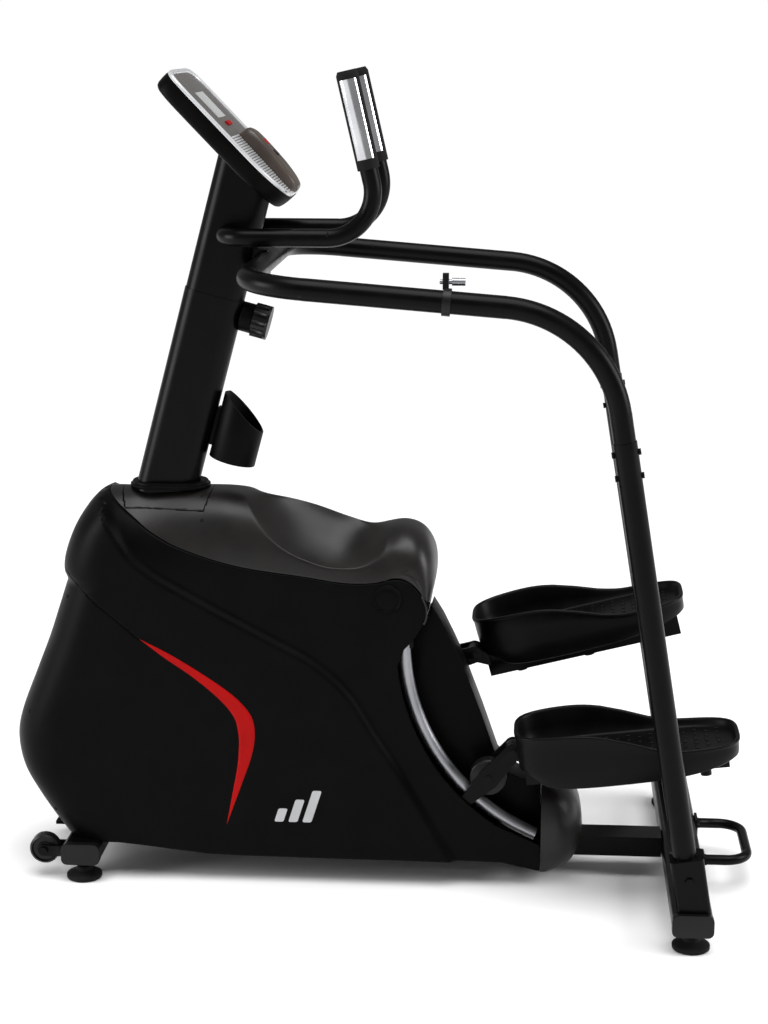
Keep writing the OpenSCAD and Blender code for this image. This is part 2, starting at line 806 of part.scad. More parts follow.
module side_profile() {
    polygon(concat(front_edge, bottom_edge, [[299, 84]], arc_points([arc_x, arc_z], cover_edge_r,
        237, 182, 14), [[60, 475], [86, 510], [97, 545]], saddle_seam));
}

// Half of the housing seen from above
module housing_plan(inset) {
    polygon([[-700 + inset, -1], [-700 + inset, -30], [-684 + inset, -62], [-655 + inset, -88],
        [-605, -housing_y + 10 + inset], [-530, -housing_y + inset], [310, -housing_y + inset],
        [310, -1]]);
}

// Half of the housing seen from the front, drawn in Y and Z
module housing_front(inset) {
    polygon([[-1, 0], [-housing_y + inset, 0], [-housing_y + inset, 470],
        [-housing_y + 7 + inset, 560], [-housing_y + 20 + inset, 650],
        [-housing_y + 30 + inset, 760], [-1, 760]]);
}

// One side cover: a shell that is open towards the middle plane
module side_cover() {
    difference() {
        intersection() {
            slab(-housing_y, -0.3) side_profile();
            plate(0, 760) housing_plan(0);
            bar_x(-710, 320) housing_front(0);
        }
        difference() {
            intersection() {
                slab(-housing_y, 1) offset(delta = -cover_wall) side_profile();
                plate(-1, 761) housing_plan(cover_wall);
                bar_x(-711, 321) housing_front(cover_wall);
            }
            // Rear wall behind the guide rails
            slab(-housing_y, 1) polygon(concat(arc_points([arc_x, arc_z], recess_r, 237, 182, 14),
                arc_points([arc_x, arc_z], recess_r + cover_wall, 182, 237, 14)));
        }
        // The recess that the rails and rollers stand in
        slab(-housing_y + cover_wall, 1) polygon(concat(
            arc_points([arc_x, arc_z], recess_r, 247, 180, 16), [[40, 480]],
            arc_points([arc_x, arc_z], 380, 182, 247, 14)));
        // Ways through for the beam, the stabilizer, the foot plate and the rail arms
        translate([-640, -beam_w / 2 - 1, 0]) cube([950, 200, deck_z + 1]);
        translate([-596, -housing_y - 1, 0]) cube([84, 200, deck_z + 0.5]);
        translate([-630, -44, 0]) cube([194, 200, deck_z + 8]);
        translate([0, -guide_y - 10, 436]) cube([80, 200, 72]);
        slab(-column_y - 0.5, 1)
            polygon([[283, 41.8], [300, 37.4], [300, 112], [283, 112]]);
        // Room for the belt on its large pulley
        rod_y(shaft_x, shaft_z, 100, -38, -22);
        // Open along the saddle seam
        slab(-housing_y + 34, 1) polygon([[-520, 750], [-600, 600], [-460, 660], [-330, 610],
            [-220, 575], [-90, 552], [0, 548], [80, 548], [80, 640], [-200, 700]]);
        // Groove from the front notch to the stripe
        slab(-housing_y - 1, -housing_y + 1.2) polygon([[-600, 582], [-434, 468], [-433, 464],
            [-600, 578]]);
        // The stripe lies in its own shallow pocket
        slab(-housing_y - 1, -housing_y + 1.2) stripe_shape();
    }
    // Round boss on the nose
    rod_y(14, 545, 24, -housing_y + 3, -housing_y + 9);
}

module stripe_shape() {
    polygon([[-434, 466], [-370, 429], [-306, 391], [-263, 361], [-243, 343], [-231, 321],
        [-228, 293], [-232, 262], [-254, 207], [-283, 120], [-265, 219], [-259, 262], [-260, 291],
        [-274, 318], [-317, 352], [-370, 400]]);
}

module left_side_cover() { color(BLACK) side_cover(); }
module right_side_cover() { color(BLACK) mirror([0, 1, 0]) side_cover(); }

module accent_stripes() {
    color(RED) for (s = [-1, 1])
        on_side(s) slab(-housing_y - 0.1, -housing_y + 1.2) stripe_shape();
}

// Outline of the saddle cover from the side
saddle_top = [[-503, 731], [-488, 731], [-263, 727], [-227, 718], [-153, 706], [-116, 696],
    [-79, 681], [-42, 670], [-5, 666], [32, 671], [58, 668], [80, 653], [94, 630], [100, 600],
    [101, 576]];
saddle_low = [[60, 581], [2, 579], [-89, 584], [-217, 608], [-326, 643], [-453, 696]];

module saddle_solid(inset) {
    half = [[housing_y - inset, 400], [housing_y - inset, 470], [housing_y - 7 - inset, 560],
        [housing_y - 20 - inset, 650], [housing_y - 30 - inset, 760]];
    difference() {
        intersection() {
            slab(-housing_y, housing_y) translate([0, -inset]) polygon(concat(saddle_top, saddle_low));
            bar_x(-600, 320 - inset) polygon(concat(half,
                [for (i = [4 : -1 : 0]) [-half[i][0], half[i][1]]]));
        }
        // Hollows on both sides for the knees
        for (s = [-1, 1])
            translate([-112, s * 186, 762]) sphere(r = 170 + inset, $fn = 64);
    }
}

module saddle_cover() {
    color(SATIN) difference() {
        saddle_solid(0);
        intersection() {
            saddle_solid(cover_wall);
            translate([-520, -200, 500]) cube([616, 400, 300]);
        }
        panel_cutter(0);
    }
}

// Outline of the removable panel round the mast, cut right across the cover
module panel_cutter(gap) {
    slab(-200, 200) polygon([[-484 + gap, 750], [-465 + gap, 702 + gap], [-322 - gap, 700 + gap],
        [-308 - gap, 750]]);
}

module access_panel() {
    color(SATIN) difference() {
        intersection() {
            saddle_solid(0);
            panel_cutter(0.8);
        }
        saddle_solid(cover_wall);
        along_mast(-120) linear_extrude(200) oval(mast_w + 2, mast_t + 2);
    }
}

column_edge = [[50, 457], [64, 471], [90, 507], [94, 519], [112, 490], [133, 447],
    [152, 405], [168, 363], [186, 315],
    [202, 270], [216, 229], [240, 200], [262, 189], [299, 189], [299, 40], [240, 52], [200, 60]];
module column_cover() {
    color(BLACK) difference() {
        slab(-column_y, column_y) column_profile();
        slab(-column_y + cover_wall, column_y - cover_wall) offset(delta = -cover_wall)
            column_profile();
        // Ways through for the main beam and for the plates that hold the rails
        translate([100, -beam_w / 2 - 1, 0]) cube([300, beam_w + 2, deck_z + 7]);
        translate([236, -column_y - 1, deck_z - 1]) cube([70, 2 * column_y + 2, 8]);
    }
}

module column_profile() {
    polygon(concat(column_edge, arc_points([arc_x, arc_z], recess_r - 0.5, 238, 183, 14)));
}

fairing_side = [[299.5, 30], [328, 22], [352, 31], [370, 56], [376, 85], [374, 125], [362, 160],
    [345, 180], [325, 188], [299.5, 189]];
fairing_plan = [[299, -108], [330, -102], [352, -88], [368, -64], [376, -34], [377, 0], [376, 34],
    [368, 64], [352, 88], [330, 102], [299, 108]];
module rear_fairing() {
    color(GREY) difference() {
        intersection() {
            slab(-120, 120) polygon(fairing_side);
            plate(0, 200) polygon(fairing_plan);
        }
        intersection() {
            slab(-116, 116) offset(delta = -cover_wall) polygon(fairing_side);
            plate(0, 200) offset(delta = -cover_wall) polygon(fairing_plan);
        }
        translate([290, -beam_w / 2 - 1, -1]) cube([100, beam_w + 2, deck_z + 2]);
    }
}

// ---------- climbing gear ----------

module guide_rails() {
    color(SILVER) for (y = [-guide_y, guide_y])
        translate([arc_x, y, arc_z]) rotate([90, 0, 0]) rotate([0, 0, 177])
            rotate_extrude(angle = 70, $fn = 96) translate([guide_r, 0]) circle(guide_tube_r);
}

// Moves a left-hand climbing part up along the rails by an angle
module along_rails(a) {
    translate([arc_x, 0, arc_z]) rotate([0, a, 0]) translate([-arc_x, 0, -arc_z]) children();
}

roller_at = arc_point(roller_path_r, carriage_angle);
guide_roller_at = arc_point(guide_path_r, carriage_angle);
roller_axle_r = 8;
guide_axle_r = 4;

module carriage_plate_shape() {
    difference() {
        union() {
            translate(roller_at) circle(20);
            translate(guide_roller_at) circle(9);
            translate([pivot_x, pivot_z]) circle(16);
            polygon([guide_roller_at + [-6, 7], roller_at + [-14, 14], [pivot_x - 13, pivot_z + 9],
                [pivot_x + 11, pivot_z - 12], roller_at + [14, -14], guide_roller_at + [6, -7]]);
        }
    }
}

module carriage() {
    color(SATIN) {
        for (s = [-1, 1])
            translate([0, -guide_y + s * (plate_gap / 2 + plate_t / 2), 0])
                slab(-plate_t / 2, plate_t / 2) carriage_plate_shape();
        rod_y(roller_at[0], roller_at[1], roller_axle_r, -guide_y - 24, -guide_y + 22);
        rod_y(guide_roller_at[0], guide_roller_at[1], guide_axle_r, -guide_y - 22, -guide_y + 22);
        rod_y(pivot_x, pivot_z, pivot_r, -guide_y - 24, -guide_y + 24);
    }
}

module left_carriage() { carriage(); }
module right_carriage() { mirror([0, 1, 0]) along_rails(climb_angle) carriage(); }

module roller() {
    color(BLACK) translate([roller_at[0], -guide_y, roller_at[1]]) rotate([90, 0, 0])
        rotate_extrude()
            polygon([[roller_axle_r + fit_gap, -roller_w / 2], [roller_r - 2, -roller_w / 2],
                [roller_r, -roller_w / 2 + 2], [roller_r, roller_w / 2 - 2],
                [roller_r - 2, roller_w / 2], [roller_axle_r + fit_gap, roller_w / 2]]);
}

module guide_roller() {
    color(BLACK) translate([guide_roller_at[0], -guide_y, guide_roller_at[1]]) rotate([90, 0, 0])
        difference() {
            translate([0, 0, -roller_w / 2]) cylinder(h = roller_w, r = guide_roller_r);
            translate([0, 0, -roller_w]) cylinder(h = 2 * roller_w, r = guide_axle_r + fit_gap);
        }
}

module left_roller() { roller(); }
module right_roller() { mirror([0, 1, 0]) along_rails(climb_angle) roller(); }
module left_guide_roller() { guide_roller(); }
module right_guide_roller() { mirror([0, 1, 0]) along_rails(climb_angle) guide_roller(); }

// The pedal's own frame: origin on its pivot, X towards the heel, Z out of the tread
module on_pedal(tilt) {
    translate([pivot_x, 0, pivot_z]) rotate([0, -tilt, 0]) children();
}

// The right pedal: carried up along the rails and tilted more
module high_pedal() {
    high = arc_point(pivot_path_r, pivot_angle - climb_angle);
    mirror([0, 1, 0]) translate([high[0], 0, high[1]]) rotate([0, -high_tilt, 0]) children();
}

arm_end = 388;
arm_low = -53;
arm_top = -9;
module pedal_arm() {
    color(STEEL_BLACK) {
        difference() {
            union() {
                // Knuckle between the carriage plates
                rod_y(0, 0, 15, -guide_y - 14, -guide_y + 14);
                slab(-guide_y - 14, -guide_y + 14) polygon([[-6, -14], [26, -30], [26, -9], [8, 13]]);
                difference() {
                    slab(-arm_y - arm_w / 2, -arm_y + arm_w / 2) polygon([[20, arm_low],
                        [arm_end, arm_low], [arm_end, arm_top], [20, arm_top]]);
                    slab(-arm_y - arm_w / 2 + 3, -arm_y + arm_w / 2 - 3) polygon([[24, arm_low + 3],
                        [arm_end - 4, arm_low + 3], [arm_end - 4, arm_top - 3], [24, arm_top - 3]]);
                }
            }
            rod_y(0, 0, pivot_r + fit_gap, -guide_y - 20, -guide_y + 20);
        }
        // Knobs under the arm that hold the tread
        for (u = [78, 210, 345])
            translate([u, -arm_y - 18, arm_low - 14]) cylinder(h = 14, r = 10);
    }
}

module left_pedal_arm() { on_pedal(low_tilt) pedal_arm(); }
module right_pedal_arm() { high_pedal() pedal_arm(); }

// Height of the pedal's side wall at a distance from the pivot
rim_curve = [[9, 60], [40, 62], [90, 64], [130, 62], [160, 58], [190, 50], [215, 40], [240, 31],
    [265, 23], [290, 18], [320, 16], [409, 16]];
tread_z = 2;
module pedal_plan(inset) {
    l = pedal_l - 2 * inset;
    w = pedal_w - 2 * inset;
    translate([9 + pedal_l / 2, -pedal_y]) round_rect(l, w, 56 - inset);
}

module pedal_tray() {
    color(BLACK) difference() {
        intersection() {
            plate(-9, 70) pedal_plan(0);
            slab(-300, 0) polygon(concat([[0, -9]], [[0, 58]], rim_curve, [[412, 16], [412, -9]]));
        }
        plate(tread_z, 80) pedal_plan(6);
        // Clear of the knuckle and the carriage
        rod_y(0, 0, 19, -guide_y - 26, -guide_y + 26);
        slab(-guide_y - 15, -guide_y + 15) polygon([[-7, -15], [27.5, -31], [27.5, -8.5],
            [9.4, 14.4], [-7, 14.4]]);
    }
}

module left_pedal() { on_pedal(low_tilt) pedal_tray(); }
module right_pedal() { high_pedal() pedal_tray(); }

// ---------- drive ----------

module drive_shaft() {
    color(SILVER) {
        rod_y(shaft_x, shaft_z, shaft_r, -92, 92);
        for (y = [-78, 60])
            rod_y(shaft_x, shaft_z, 30, y, y + 18);
        rod_y(shaft_x, shaft_z, 95, 24, 36);
    }
}

module flywheel() {
    color(SILVER) {
        rod_y(flywheel_x, flywheel_z, flywheel_axle_r, -58, 58);
        rod_y(flywheel_x, flywheel_z, flywheel_r, -20, 2);
        rod_y(flywheel_x, flywheel_z, 20, 24, 36);
    }
}

belt_angle = atan2(shaft_z - flywheel_z, shaft_x - flywheel_x);
belt_l = norm([shaft_x - flywheel_x, shaft_z - flywheel_z]);
belt_wrap = 90 + asin((95 - 20) / belt_l);
module belt_shape(grow) {
    polygon(concat(
        arc_points([shaft_x, shaft_z], 95 + grow, belt_angle - belt_wrap,
            belt_angle + belt_wrap, 40),
        arc_points([flywheel_x, flywheel_z], 20 + grow, belt_angle + belt_wrap,
            belt_angle + 360 - belt_wrap, 20)));
}

module drive_belt() {
    color(BLACK) difference() {
        slab(25, 35) belt_shape(3.3);
        slab(24, 36) belt_shape(0.3);
    }
}

module brake_arm() {
    color(GREY) {
        slab(-24, 6) polygon(concat(
            arc_points([flywheel_x, flywheel_z], flywheel_r + 4, 110, 215, 16),
            arc_points([flywheel_x, flywheel_z], flywheel_r + 16, 215, 110, 16)));
        rod_y(brake_pivot[0], brake_pivot[1], 8.2, -24, 6);
        rod_y(brake_pivot[0], brake_pivot[1], brake_pin_r, -54, 54);
    }
}

// ---------- assembly ----------

main_frame();
drive_bracket();
front_stabilizer();
rear_stabilizer();
stabilizer_caps();
foot_front_left();
foot_front_right();
foot_rear_left();
foot_rear_right();
lift_handle();
wheel_left();
wheel_right();
frame_bolts();
upright_left();
upright_right();
handrail();
mast_lower();
mast_upper();
mast_collar();
handrail_bracket();
dial_base();
resistance_dial();
handlebar();
handlebar_grips();
pulse_sensors();
console_back();
console_bezel();
console_face();
console_display();
console_pod();
key_left();
key_middle();
key_right();
start_key();
select_key();
bottle_holder();
accessory_clamp();
clamp_screw();
left_side_cover();
right_side_cover();
saddle_cover();
access_panel();
accent_stripes();
column_cover();
rear_fairing();
guide_rails();
left_carriage();
right_carriage();
left_roller();
right_roller();
left_guide_roller();
right_guide_roller();
left_pedal_arm();
right_pedal_arm();
left_pedal();
right_pedal();
drive_shaft();
flywheel();
drive_belt();
brake_arm();
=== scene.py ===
import json
import math

import bmesh
import bpy
from mathutils import Matrix, Vector


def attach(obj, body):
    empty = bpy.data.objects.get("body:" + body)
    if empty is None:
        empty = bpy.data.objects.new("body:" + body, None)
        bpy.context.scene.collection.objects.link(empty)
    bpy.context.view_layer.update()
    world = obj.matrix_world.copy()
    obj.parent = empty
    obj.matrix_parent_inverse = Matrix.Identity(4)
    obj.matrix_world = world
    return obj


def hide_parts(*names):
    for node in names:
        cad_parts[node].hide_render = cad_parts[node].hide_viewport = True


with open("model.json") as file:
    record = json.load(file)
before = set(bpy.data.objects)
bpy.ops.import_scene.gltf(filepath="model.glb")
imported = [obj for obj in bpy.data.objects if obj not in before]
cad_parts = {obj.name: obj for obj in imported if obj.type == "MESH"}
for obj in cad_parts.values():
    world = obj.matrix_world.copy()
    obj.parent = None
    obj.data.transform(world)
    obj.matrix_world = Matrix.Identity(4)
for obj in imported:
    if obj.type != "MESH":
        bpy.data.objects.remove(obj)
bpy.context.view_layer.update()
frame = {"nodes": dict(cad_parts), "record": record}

mm = 0.001
mergeDistance = 0.00002  # metres: corners closer than this are one corner
nodes = frame["nodes"]
print("frame loaded:", len(nodes), "nodes")


def linearFromHex(text):  # an sRGB hex colour as linear light
    channels = [int(text[i:i + 2], 16) / 255 for i in (1, 3, 5)]
    return [c / 12.92 if c <= 0.04045 else ((c + 0.055) / 1.055) ** 2.4 for c in channels] + [1.0]


def addNode(tree, kind, settings=None, links=None):
    node = tree.nodes.new(kind)
    for key, value in (settings or {}).items():
        if key in node.inputs:
            node.inputs[key].default_value = value
        else:
            setattr(node, key, value)
    for key, (source, output) in (links or {}).items():
        tree.links.new(source.outputs[output], node.inputs[key])
    return node


def lerp(a, b, t):
    return a + (b - a) * t


def smoothStep(low, high, value):  # 0 below low, 1 above high, an even S between
    t = min(1.0, max(0.0, (value - low) / (high - low)))
    return t * t * (3 - 2 * t)


def curveThrough(points):  # a smooth curve through a few hand-set points, as a function of the first number
    def value(x):
        if x <= points[0][0]:
            return points[0][1]
        if x >= points[-1][0]:
            return points[-1][1]
        i = max(k for k in range(len(points) - 1) if points[k][0] <= x)
        x0, y0 = points[i]
        x1, y1 = points[i + 1]
        before = points[max(0, i - 1)]
        after = points[min(len(points) - 1, i + 2)]
        slope0 = (y1 - before[1]) / (x1 - before[0])
        slope1 = (after[1] - y0) / (after[0] - x0)
        t, w = (x - x0) / (x1 - x0), x1 - x0
        return ((2 * t ** 3 - 3 * t ** 2 + 1) * y0 + (t ** 3 - 2 * t ** 2 + t) * w * slope0
                + (3 * t ** 2 - 2 * t ** 3) * y1 + (t ** 3 - t ** 2) * w * slope1)
    return value


def signedPower(value, power):  # squares off a circle when the power is below 1
    return math.copysign(abs(value) ** power, value)


def finishPiece(name, bm, material, body, slotName, replaced=(), sharpAngle=35, recalc=True):
    # turns a bmesh into a smooth shaded object that rides on its body
    bmesh.ops.remove_doubles(bm, verts=bm.verts, dist=mergeDistance)
    if recalc:
        bmesh.ops.recalc_face_normals(bm, faces=bm.faces)
    mesh = bpy.data.meshes.new(name)
    bm.to_mesh(mesh)
    bm.free()
    for face in mesh.polygons:
        face.use_smooth = True
    mesh.set_sharp_from_angle(angle=math.radians(sharpAngle))
    mesh.materials.append(material)
    piece = bpy.data.objects.new(name, mesh)
    bpy.context.scene.collection.objects.link(piece)
    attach(piece, body)
    if replaced:
        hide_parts(*replaced)
    return piece


def ringLoft(bm, count, place, steps, capStart=True, capEnd=True):  # rings of one outline, joined in turn
    ring = bmesh.ops.create_circle(bm, cap_ends=False, segments=count, radius=1.0)["verts"]
    angles = [2 * math.pi * i / count for i in range(count)]
    for vert, angle in zip(ring, angles):
        vert.co = place(angle, *steps[0])
    edges = [e for e in bm.edges if e.verts[0] in ring and e.verts[1] in ring]
    if capStart:
        bmesh.ops.contextual_create(bm, geom=edges)
    for step in steps[1:]:
        out = bmesh.ops.extrude_edge_only(bm, edges=edges)["geom"]
        edges = [g for g in out if isinstance(g, bmesh.types.BMEdge)]
        known = set(ring)
        follow = {}
        for vert in (g for g in out if isinstance(g, bmesh.types.BMVert)):
            partner = next(e.other_vert(vert) for e in vert.link_edges if e.other_vert(vert) in known)
            follow[partner] = vert
        ring = [follow[v] for v in ring]
        for vert, angle in zip(ring, angles):
            vert.co = place(angle, *step)
    if capEnd:
        bmesh.ops.contextual_create(bm, geom=edges)


def gridSurface(bm, columns, rows, place):  # a sheet of quads, each corner put in place by a formula
    bmesh.ops.create_grid(bm, x_segments=columns, y_segments=rows, size=0.5)
    for vert in bm.verts:
        vert.co = place(round((vert.co.x + 0.5) * columns) / columns, round((vert.co.y + 0.5) * rows) / rows)


def mirrored(bm):  # the same shape on the machine's other side, still facing outwards
    bmesh.ops.scale(bm, vec=(1, -1, 1), verts=bm.verts)
    bmesh.ops.reverse_faces(bm, faces=bm.faces)


def mergeInto(bm, other):  # adds one bmesh to another and frees it
    holder = bpy.data.meshes.new("holder")
    other.to_mesh(holder)
    other.free()
    bm.from_mesh(holder)
    bpy.data.meshes.remove(holder)


def addMirrorImage(bm):
    other = bm.copy()
    mirrored(other)
    mergeInto(bm, other)


def addModifier(piece, kind, **settings):
    modifier = piece.modifiers.new(kind.title(), kind)
    for key, value in settings.items():
        setattr(modifier, key, value)
    return modifier


cloudMm = 60  # how wide the slow drift of colour and gloss is
grainDepthMm = 0.1  # how deep the mould texture or the grit is


def surfaceMaterial(name, look):
    # colour drifts a little, roughness is patchy, and a fine grain stands up as bump
    material = bpy.data.materials.new(name)
    material.use_nodes = True
    tree = material.node_tree
    tree.nodes.clear()
    place = addNode(tree, "ShaderNodeTexCoord")
    cloud = addNode(tree, "ShaderNodeTexNoise", {"Scale": 1000 / cloudMm, "Detail": 3.0},
                    {"Vector": (place, "Object")})
    grain = addNode(tree, "ShaderNodeTexNoise", {"Scale": 1000 / look["grainMm"], "Detail": 2.0,
                    "Roughness": 0.6}, {"Vector": (place, "Object")})
    colour = addNode(tree, "ShaderNodeValToRGB", {}, {"Fac": (cloud, "Fac")})
    colour.color_ramp.elements[0].color = linearFromHex(look["dark"])
    colour.color_ramp.elements[1].color = linearFromHex(look["light"])
    colour.color_ramp.elements[0].position = 0.3
    colour.color_ramp.elements[1].position = 0.7
    rough = addNode(tree, "ShaderNodeMapRange", {"From Min": 0.3, "From Max": 0.7,
                    "To Min": look["rough"][0], "To Max": look["rough"][1]}, {"Value": (cloud, "Fac")})
    bump = addNode(tree, "ShaderNodeBump", {"Strength": look["bump"], "Distance": grainDepthMm * mm},
                   {"Height": (grain, "Fac")})
    shader = addNode(tree, "ShaderNodeBsdfPrincipled", look["shader"],
                     {"Base Color": (colour, "Color"), "Roughness": (rough, "Result"), "Normal": (bump, "Normal")})
    addNode(tree, "ShaderNodeOutputMaterial", {}, {"Surface": (shader, "BSDF")})
    return material


# dark and light are the ends of the colour drift, rough the ends of the roughness; the grain of the plastics
# and the paint is drawn somewhat coarser than the real one, so that it shows
looks = {
    # spark-eroded mould texture on black ABS: matt, with a soft sheen
    "texturedAbs": {"dark": "#030303", "light": "#060606", "rough": (0.4, 0.48), "grainMm": 1.4, "bump": 0.22,
                    "shader": {"IOR": 1.5, "Specular IOR Level": 0.05}},
    # the saddle is the same ABS from a finer mould, a little glossier; its colour is lighter and warmer than the
    # side covers' ABS, painted light for the warm sheen on the lit tops of the saddle and the fairing
    "satinAbsWithPaintedLight": {"dark": "#0f0e0d", "light": "#151311", "rough": (0.34, 0.42), "grainMm": 1.0, "bump": 0.12,
                 "shader": {"IOR": 1.5, "Specular IOR Level": 0.32}},
    # powder coat on steel tube: slight orange peel, satin
    "powderCoat": {"dark": "#030303", "light": "#060606", "rough": (0.28, 0.36), "grainMm": 2.2, "bump": 0.12,
                   "shader": {"IOR": 1.5, "Specular IOR Level": 0.09}},
    # injection moulded polypropylene tread: waxy and scuffed
    "mouldedPolypropylene": {"dark": "#030303", "light": "#070707", "rough": (0.34, 0.46), "grainMm": 1.1,
                             "bump": 0.2, "shader": {"IOR": 1.49, "Specular IOR Level": 0.1}},
    # glass filled nylon from a polished mould: hard and faintly shiny
    "mouldedNylon": {"dark": "#0a0a0a", "light": "#101010", "rough": (0.32, 0.42), "grainMm": 0.9, "bump": 0.1,
                     "shader": {"IOR": 1.53, "Specular IOR Level": 0.2}},
    # vulcanised rubber: dull and slightly dusty
    "vulcanisedRubber": {"dark": "#0d0d0d", "light": "#161616", "rough": (0.65, 0.8), "grainMm": 0.8, "bump": 0.3,
                         "shader": {"IOR": 1.52, "Specular IOR Level": 0.12}},
    # brushed and zinc plated steel tube: grey metal with soft, wide highlights
    "brushedSteel": {"dark": "#8e8f93", "light": "#a2a3a7", "rough": (0.34, 0.44), "grainMm": 1.0, "bump": 0.05,
                     "shader": {"Metallic": 1.0}},
    # chrome plated and polished sheet: bright, with a clear reflection
    "polishedChrome": {"dark": "#d2d3d6", "light": "#e2e3e5", "rough": (0.08, 0.14), "grainMm": 2.0,
                       "bump": 0.02, "shader": {"Metallic": 1.0}},
    # cast iron turned on a lathe: dark grey metal, half dull
    "turnedIron": {"dark": "#3c3c3e", "light": "#4a4a4c", "rough": (0.35, 0.5), "grainMm": 1.5, "bump": 0.15,
                   "shader": {"Metallic": 1.0}},
    # metallic lacquer over plastic, under a clear coat
    "silverLacquer": {"dark": "#d0d1d3", "light": "#dcdddf", "rough": (0.28, 0.36), "grainMm": 0.8, "bump": 0.03,
                      "shader": {"Metallic": 0.35, "Coat Weight": 0.4, "Coat Roughness": 0.15}},
    # printed polycarbonate film on the console's face: warm grey, satin
    "greyPolycarbonate": {"dark": "#4e4b48", "light": "#585552", "rough": (0.3, 0.4), "grainMm": 0.9, "bump": 0.06,
                          "shader": {"IOR": 1.58, "Specular IOR Level": 0.3}},
    # the pod's moulded polycarbonate: the same satin, browner and darker
    "umberPolycarbonate": {"dark": "#3d3530", "light": "#473e38", "rough": (0.3, 0.4), "grainMm": 0.9,
                           "bump": 0.06, "shader": {"IOR": 1.58, "Specular IOR Level": 0.3}},
    # acrylic window over a pale display: smooth, under a glossy hard coat
    "displayWindow": {"dark": "#c2c7c4", "light": "#ced2cf", "rough": (0.15, 0.2), "grainMm": 3.0, "bump": 0.0,
                      "shader": {"IOR": 1.49, "Coat Weight": 0.6, "Coat Roughness": 0.05}},
    # screen printed red ink: deep, even and half matt
    "printedRed": {"dark": "#960202", "light": "#a40303", "rough": (0.4, 0.46), "grainMm": 1.0, "bump": 0.05,
                   "shader": {"IOR": 1.5, "Specular IOR Level": 0.1}},
    # silver ink with metal flake: pale grey, slightly metallic
    "silverPrint": {"dark": "#a8a9ab", "light": "#b4b5b7", "rough": (0.3, 0.4), "grainMm": 1.0, "bump": 0.0,
                    "shader": {"Metallic": 0.5}},
}
materials = {name: surfaceMaterial(name, look) for name, look in looks.items()}

slotFinish = {  # which finish each material slot of the record gets
    # saddle_plastic and fairing_plastic take the satin ABS whose lighter, warmer colour is painted light for their
    # lit tops
    "frame_steel": "powderCoat", "cover_plastic": "texturedAbs", "saddle_plastic": "satinAbsWithPaintedLight",
    "fairing_plastic": "satinAbsWithPaintedLight", "pedal_plastic": "mouldedPolypropylene", "trim_plastic": "mouldedNylon",
    "roller_plastic": "mouldedNylon", "foot_rubber": "vulcanisedRubber", "bare_steel": "brushedSteel",
    "sensor_steel": "polishedChrome", "flywheel_iron": "turnedIron", "belt_rubber": "vulcanisedRubber",
    "bezel_silver": "silverLacquer", "console_grey": "greyPolycarbonate", "pod_grey": "umberPolycarbonate",
    "display_glass": "displayWindow", "red_plastic": "printedRed",
}
for part in frame["record"]["subparts"]:
    node = nodes[part["node"]]
    node.data.materials.clear()
    node.data.materials.append(materials[slotFinish[part["material_slot"]]])
print("materials made:", len(materials))


def softenedCopy(nodeName, body, slotName, roundMm, sharpAngle=32):  # a CAD node again, smooth, its edges rounded
    bm = bmesh.new()
    bm.from_mesh(nodes[nodeName].data)
    bmesh.ops.remove_doubles(bm, verts=bm.verts, dist=mergeDistance)
    bmesh.ops.dissolve_limit(bm, angle_limit=math.radians(1), verts=bm.verts, edges=bm.edges)
    if roundMm:
        edges = [e for e in bm.edges if len(e.link_faces) == 2 and e.calc_face_angle(0) > math.radians(sharpAngle)]
        bmesh.ops.bevel(bm, geom=edges, offset=roundMm * mm, offset_type="OFFSET", segments=3, profile=0.5,
                        affect="EDGES", material=-1, clamp_overlap=True)
    return finishPiece(nodeName + "_finish", bm, materials[slotFinish[slotName]], body, slotName, (nodeName,),
                       sharpAngle, recalc=False)


slotOf = {part["node"]: part["material_slot"] for part in frame["record"]["subparts"]}
bodyOf = {n: body for body, members in frame["record"]["behaviour"]["bodies"].items() for n in members}
softened = {  # how far each node's sharp edges are rounded, in mm
    "handrail": 0, "handlebar": 0, "upright_left": 0, "upright_right": 0, "lift_handle": 0, "guide_rails": 0,
    "mast_lower": 0, "mast_upper": 0, "mast_collar": 1.2, "rear_stabilizer": 0, "front_stabilizer": 0,
    "stabilizer_caps": 1.5, "main_frame": 0, "column_cover": 2.0, "dial_base": 1.0, "resistance_dial": 0.8,
    "bottle_holder": 0.6, "handrail_bracket": 0.8, "left_pedal_arm": 1.0, "right_pedal_arm": 1.0,
    "left_carriage": 0.6, "right_carriage": 0.6, "handlebar_grips": 0.5, "pulse_sensors": 0,
    "left_roller": 0, "right_roller": 0, "left_guide_roller": 0, "right_guide_roller": 0,
    "wheel_left": 0, "wheel_right": 0, "foot_front_left": 0.8, "foot_front_right": 0.8,
    "foot_rear_left": 0.8, "foot_rear_right": 0.8, "accessory_clamp": 0.6,
}
for name, roundMm in softened.items():
    softenedCopy(name, bodyOf[name], slotOf[name], roundMm)
print("CAD nodes refined:", len(softened))


housing = {
    "halfWidth": 118, "frontRound": 95, "frontPower": 2.3, "shoulderStep": 11, "shoulderRun": 17,
    "wall": 3.0, "columns": 200, "rows": 150, "frontColumns": 40, "seamHalfGap": 0.3,
}
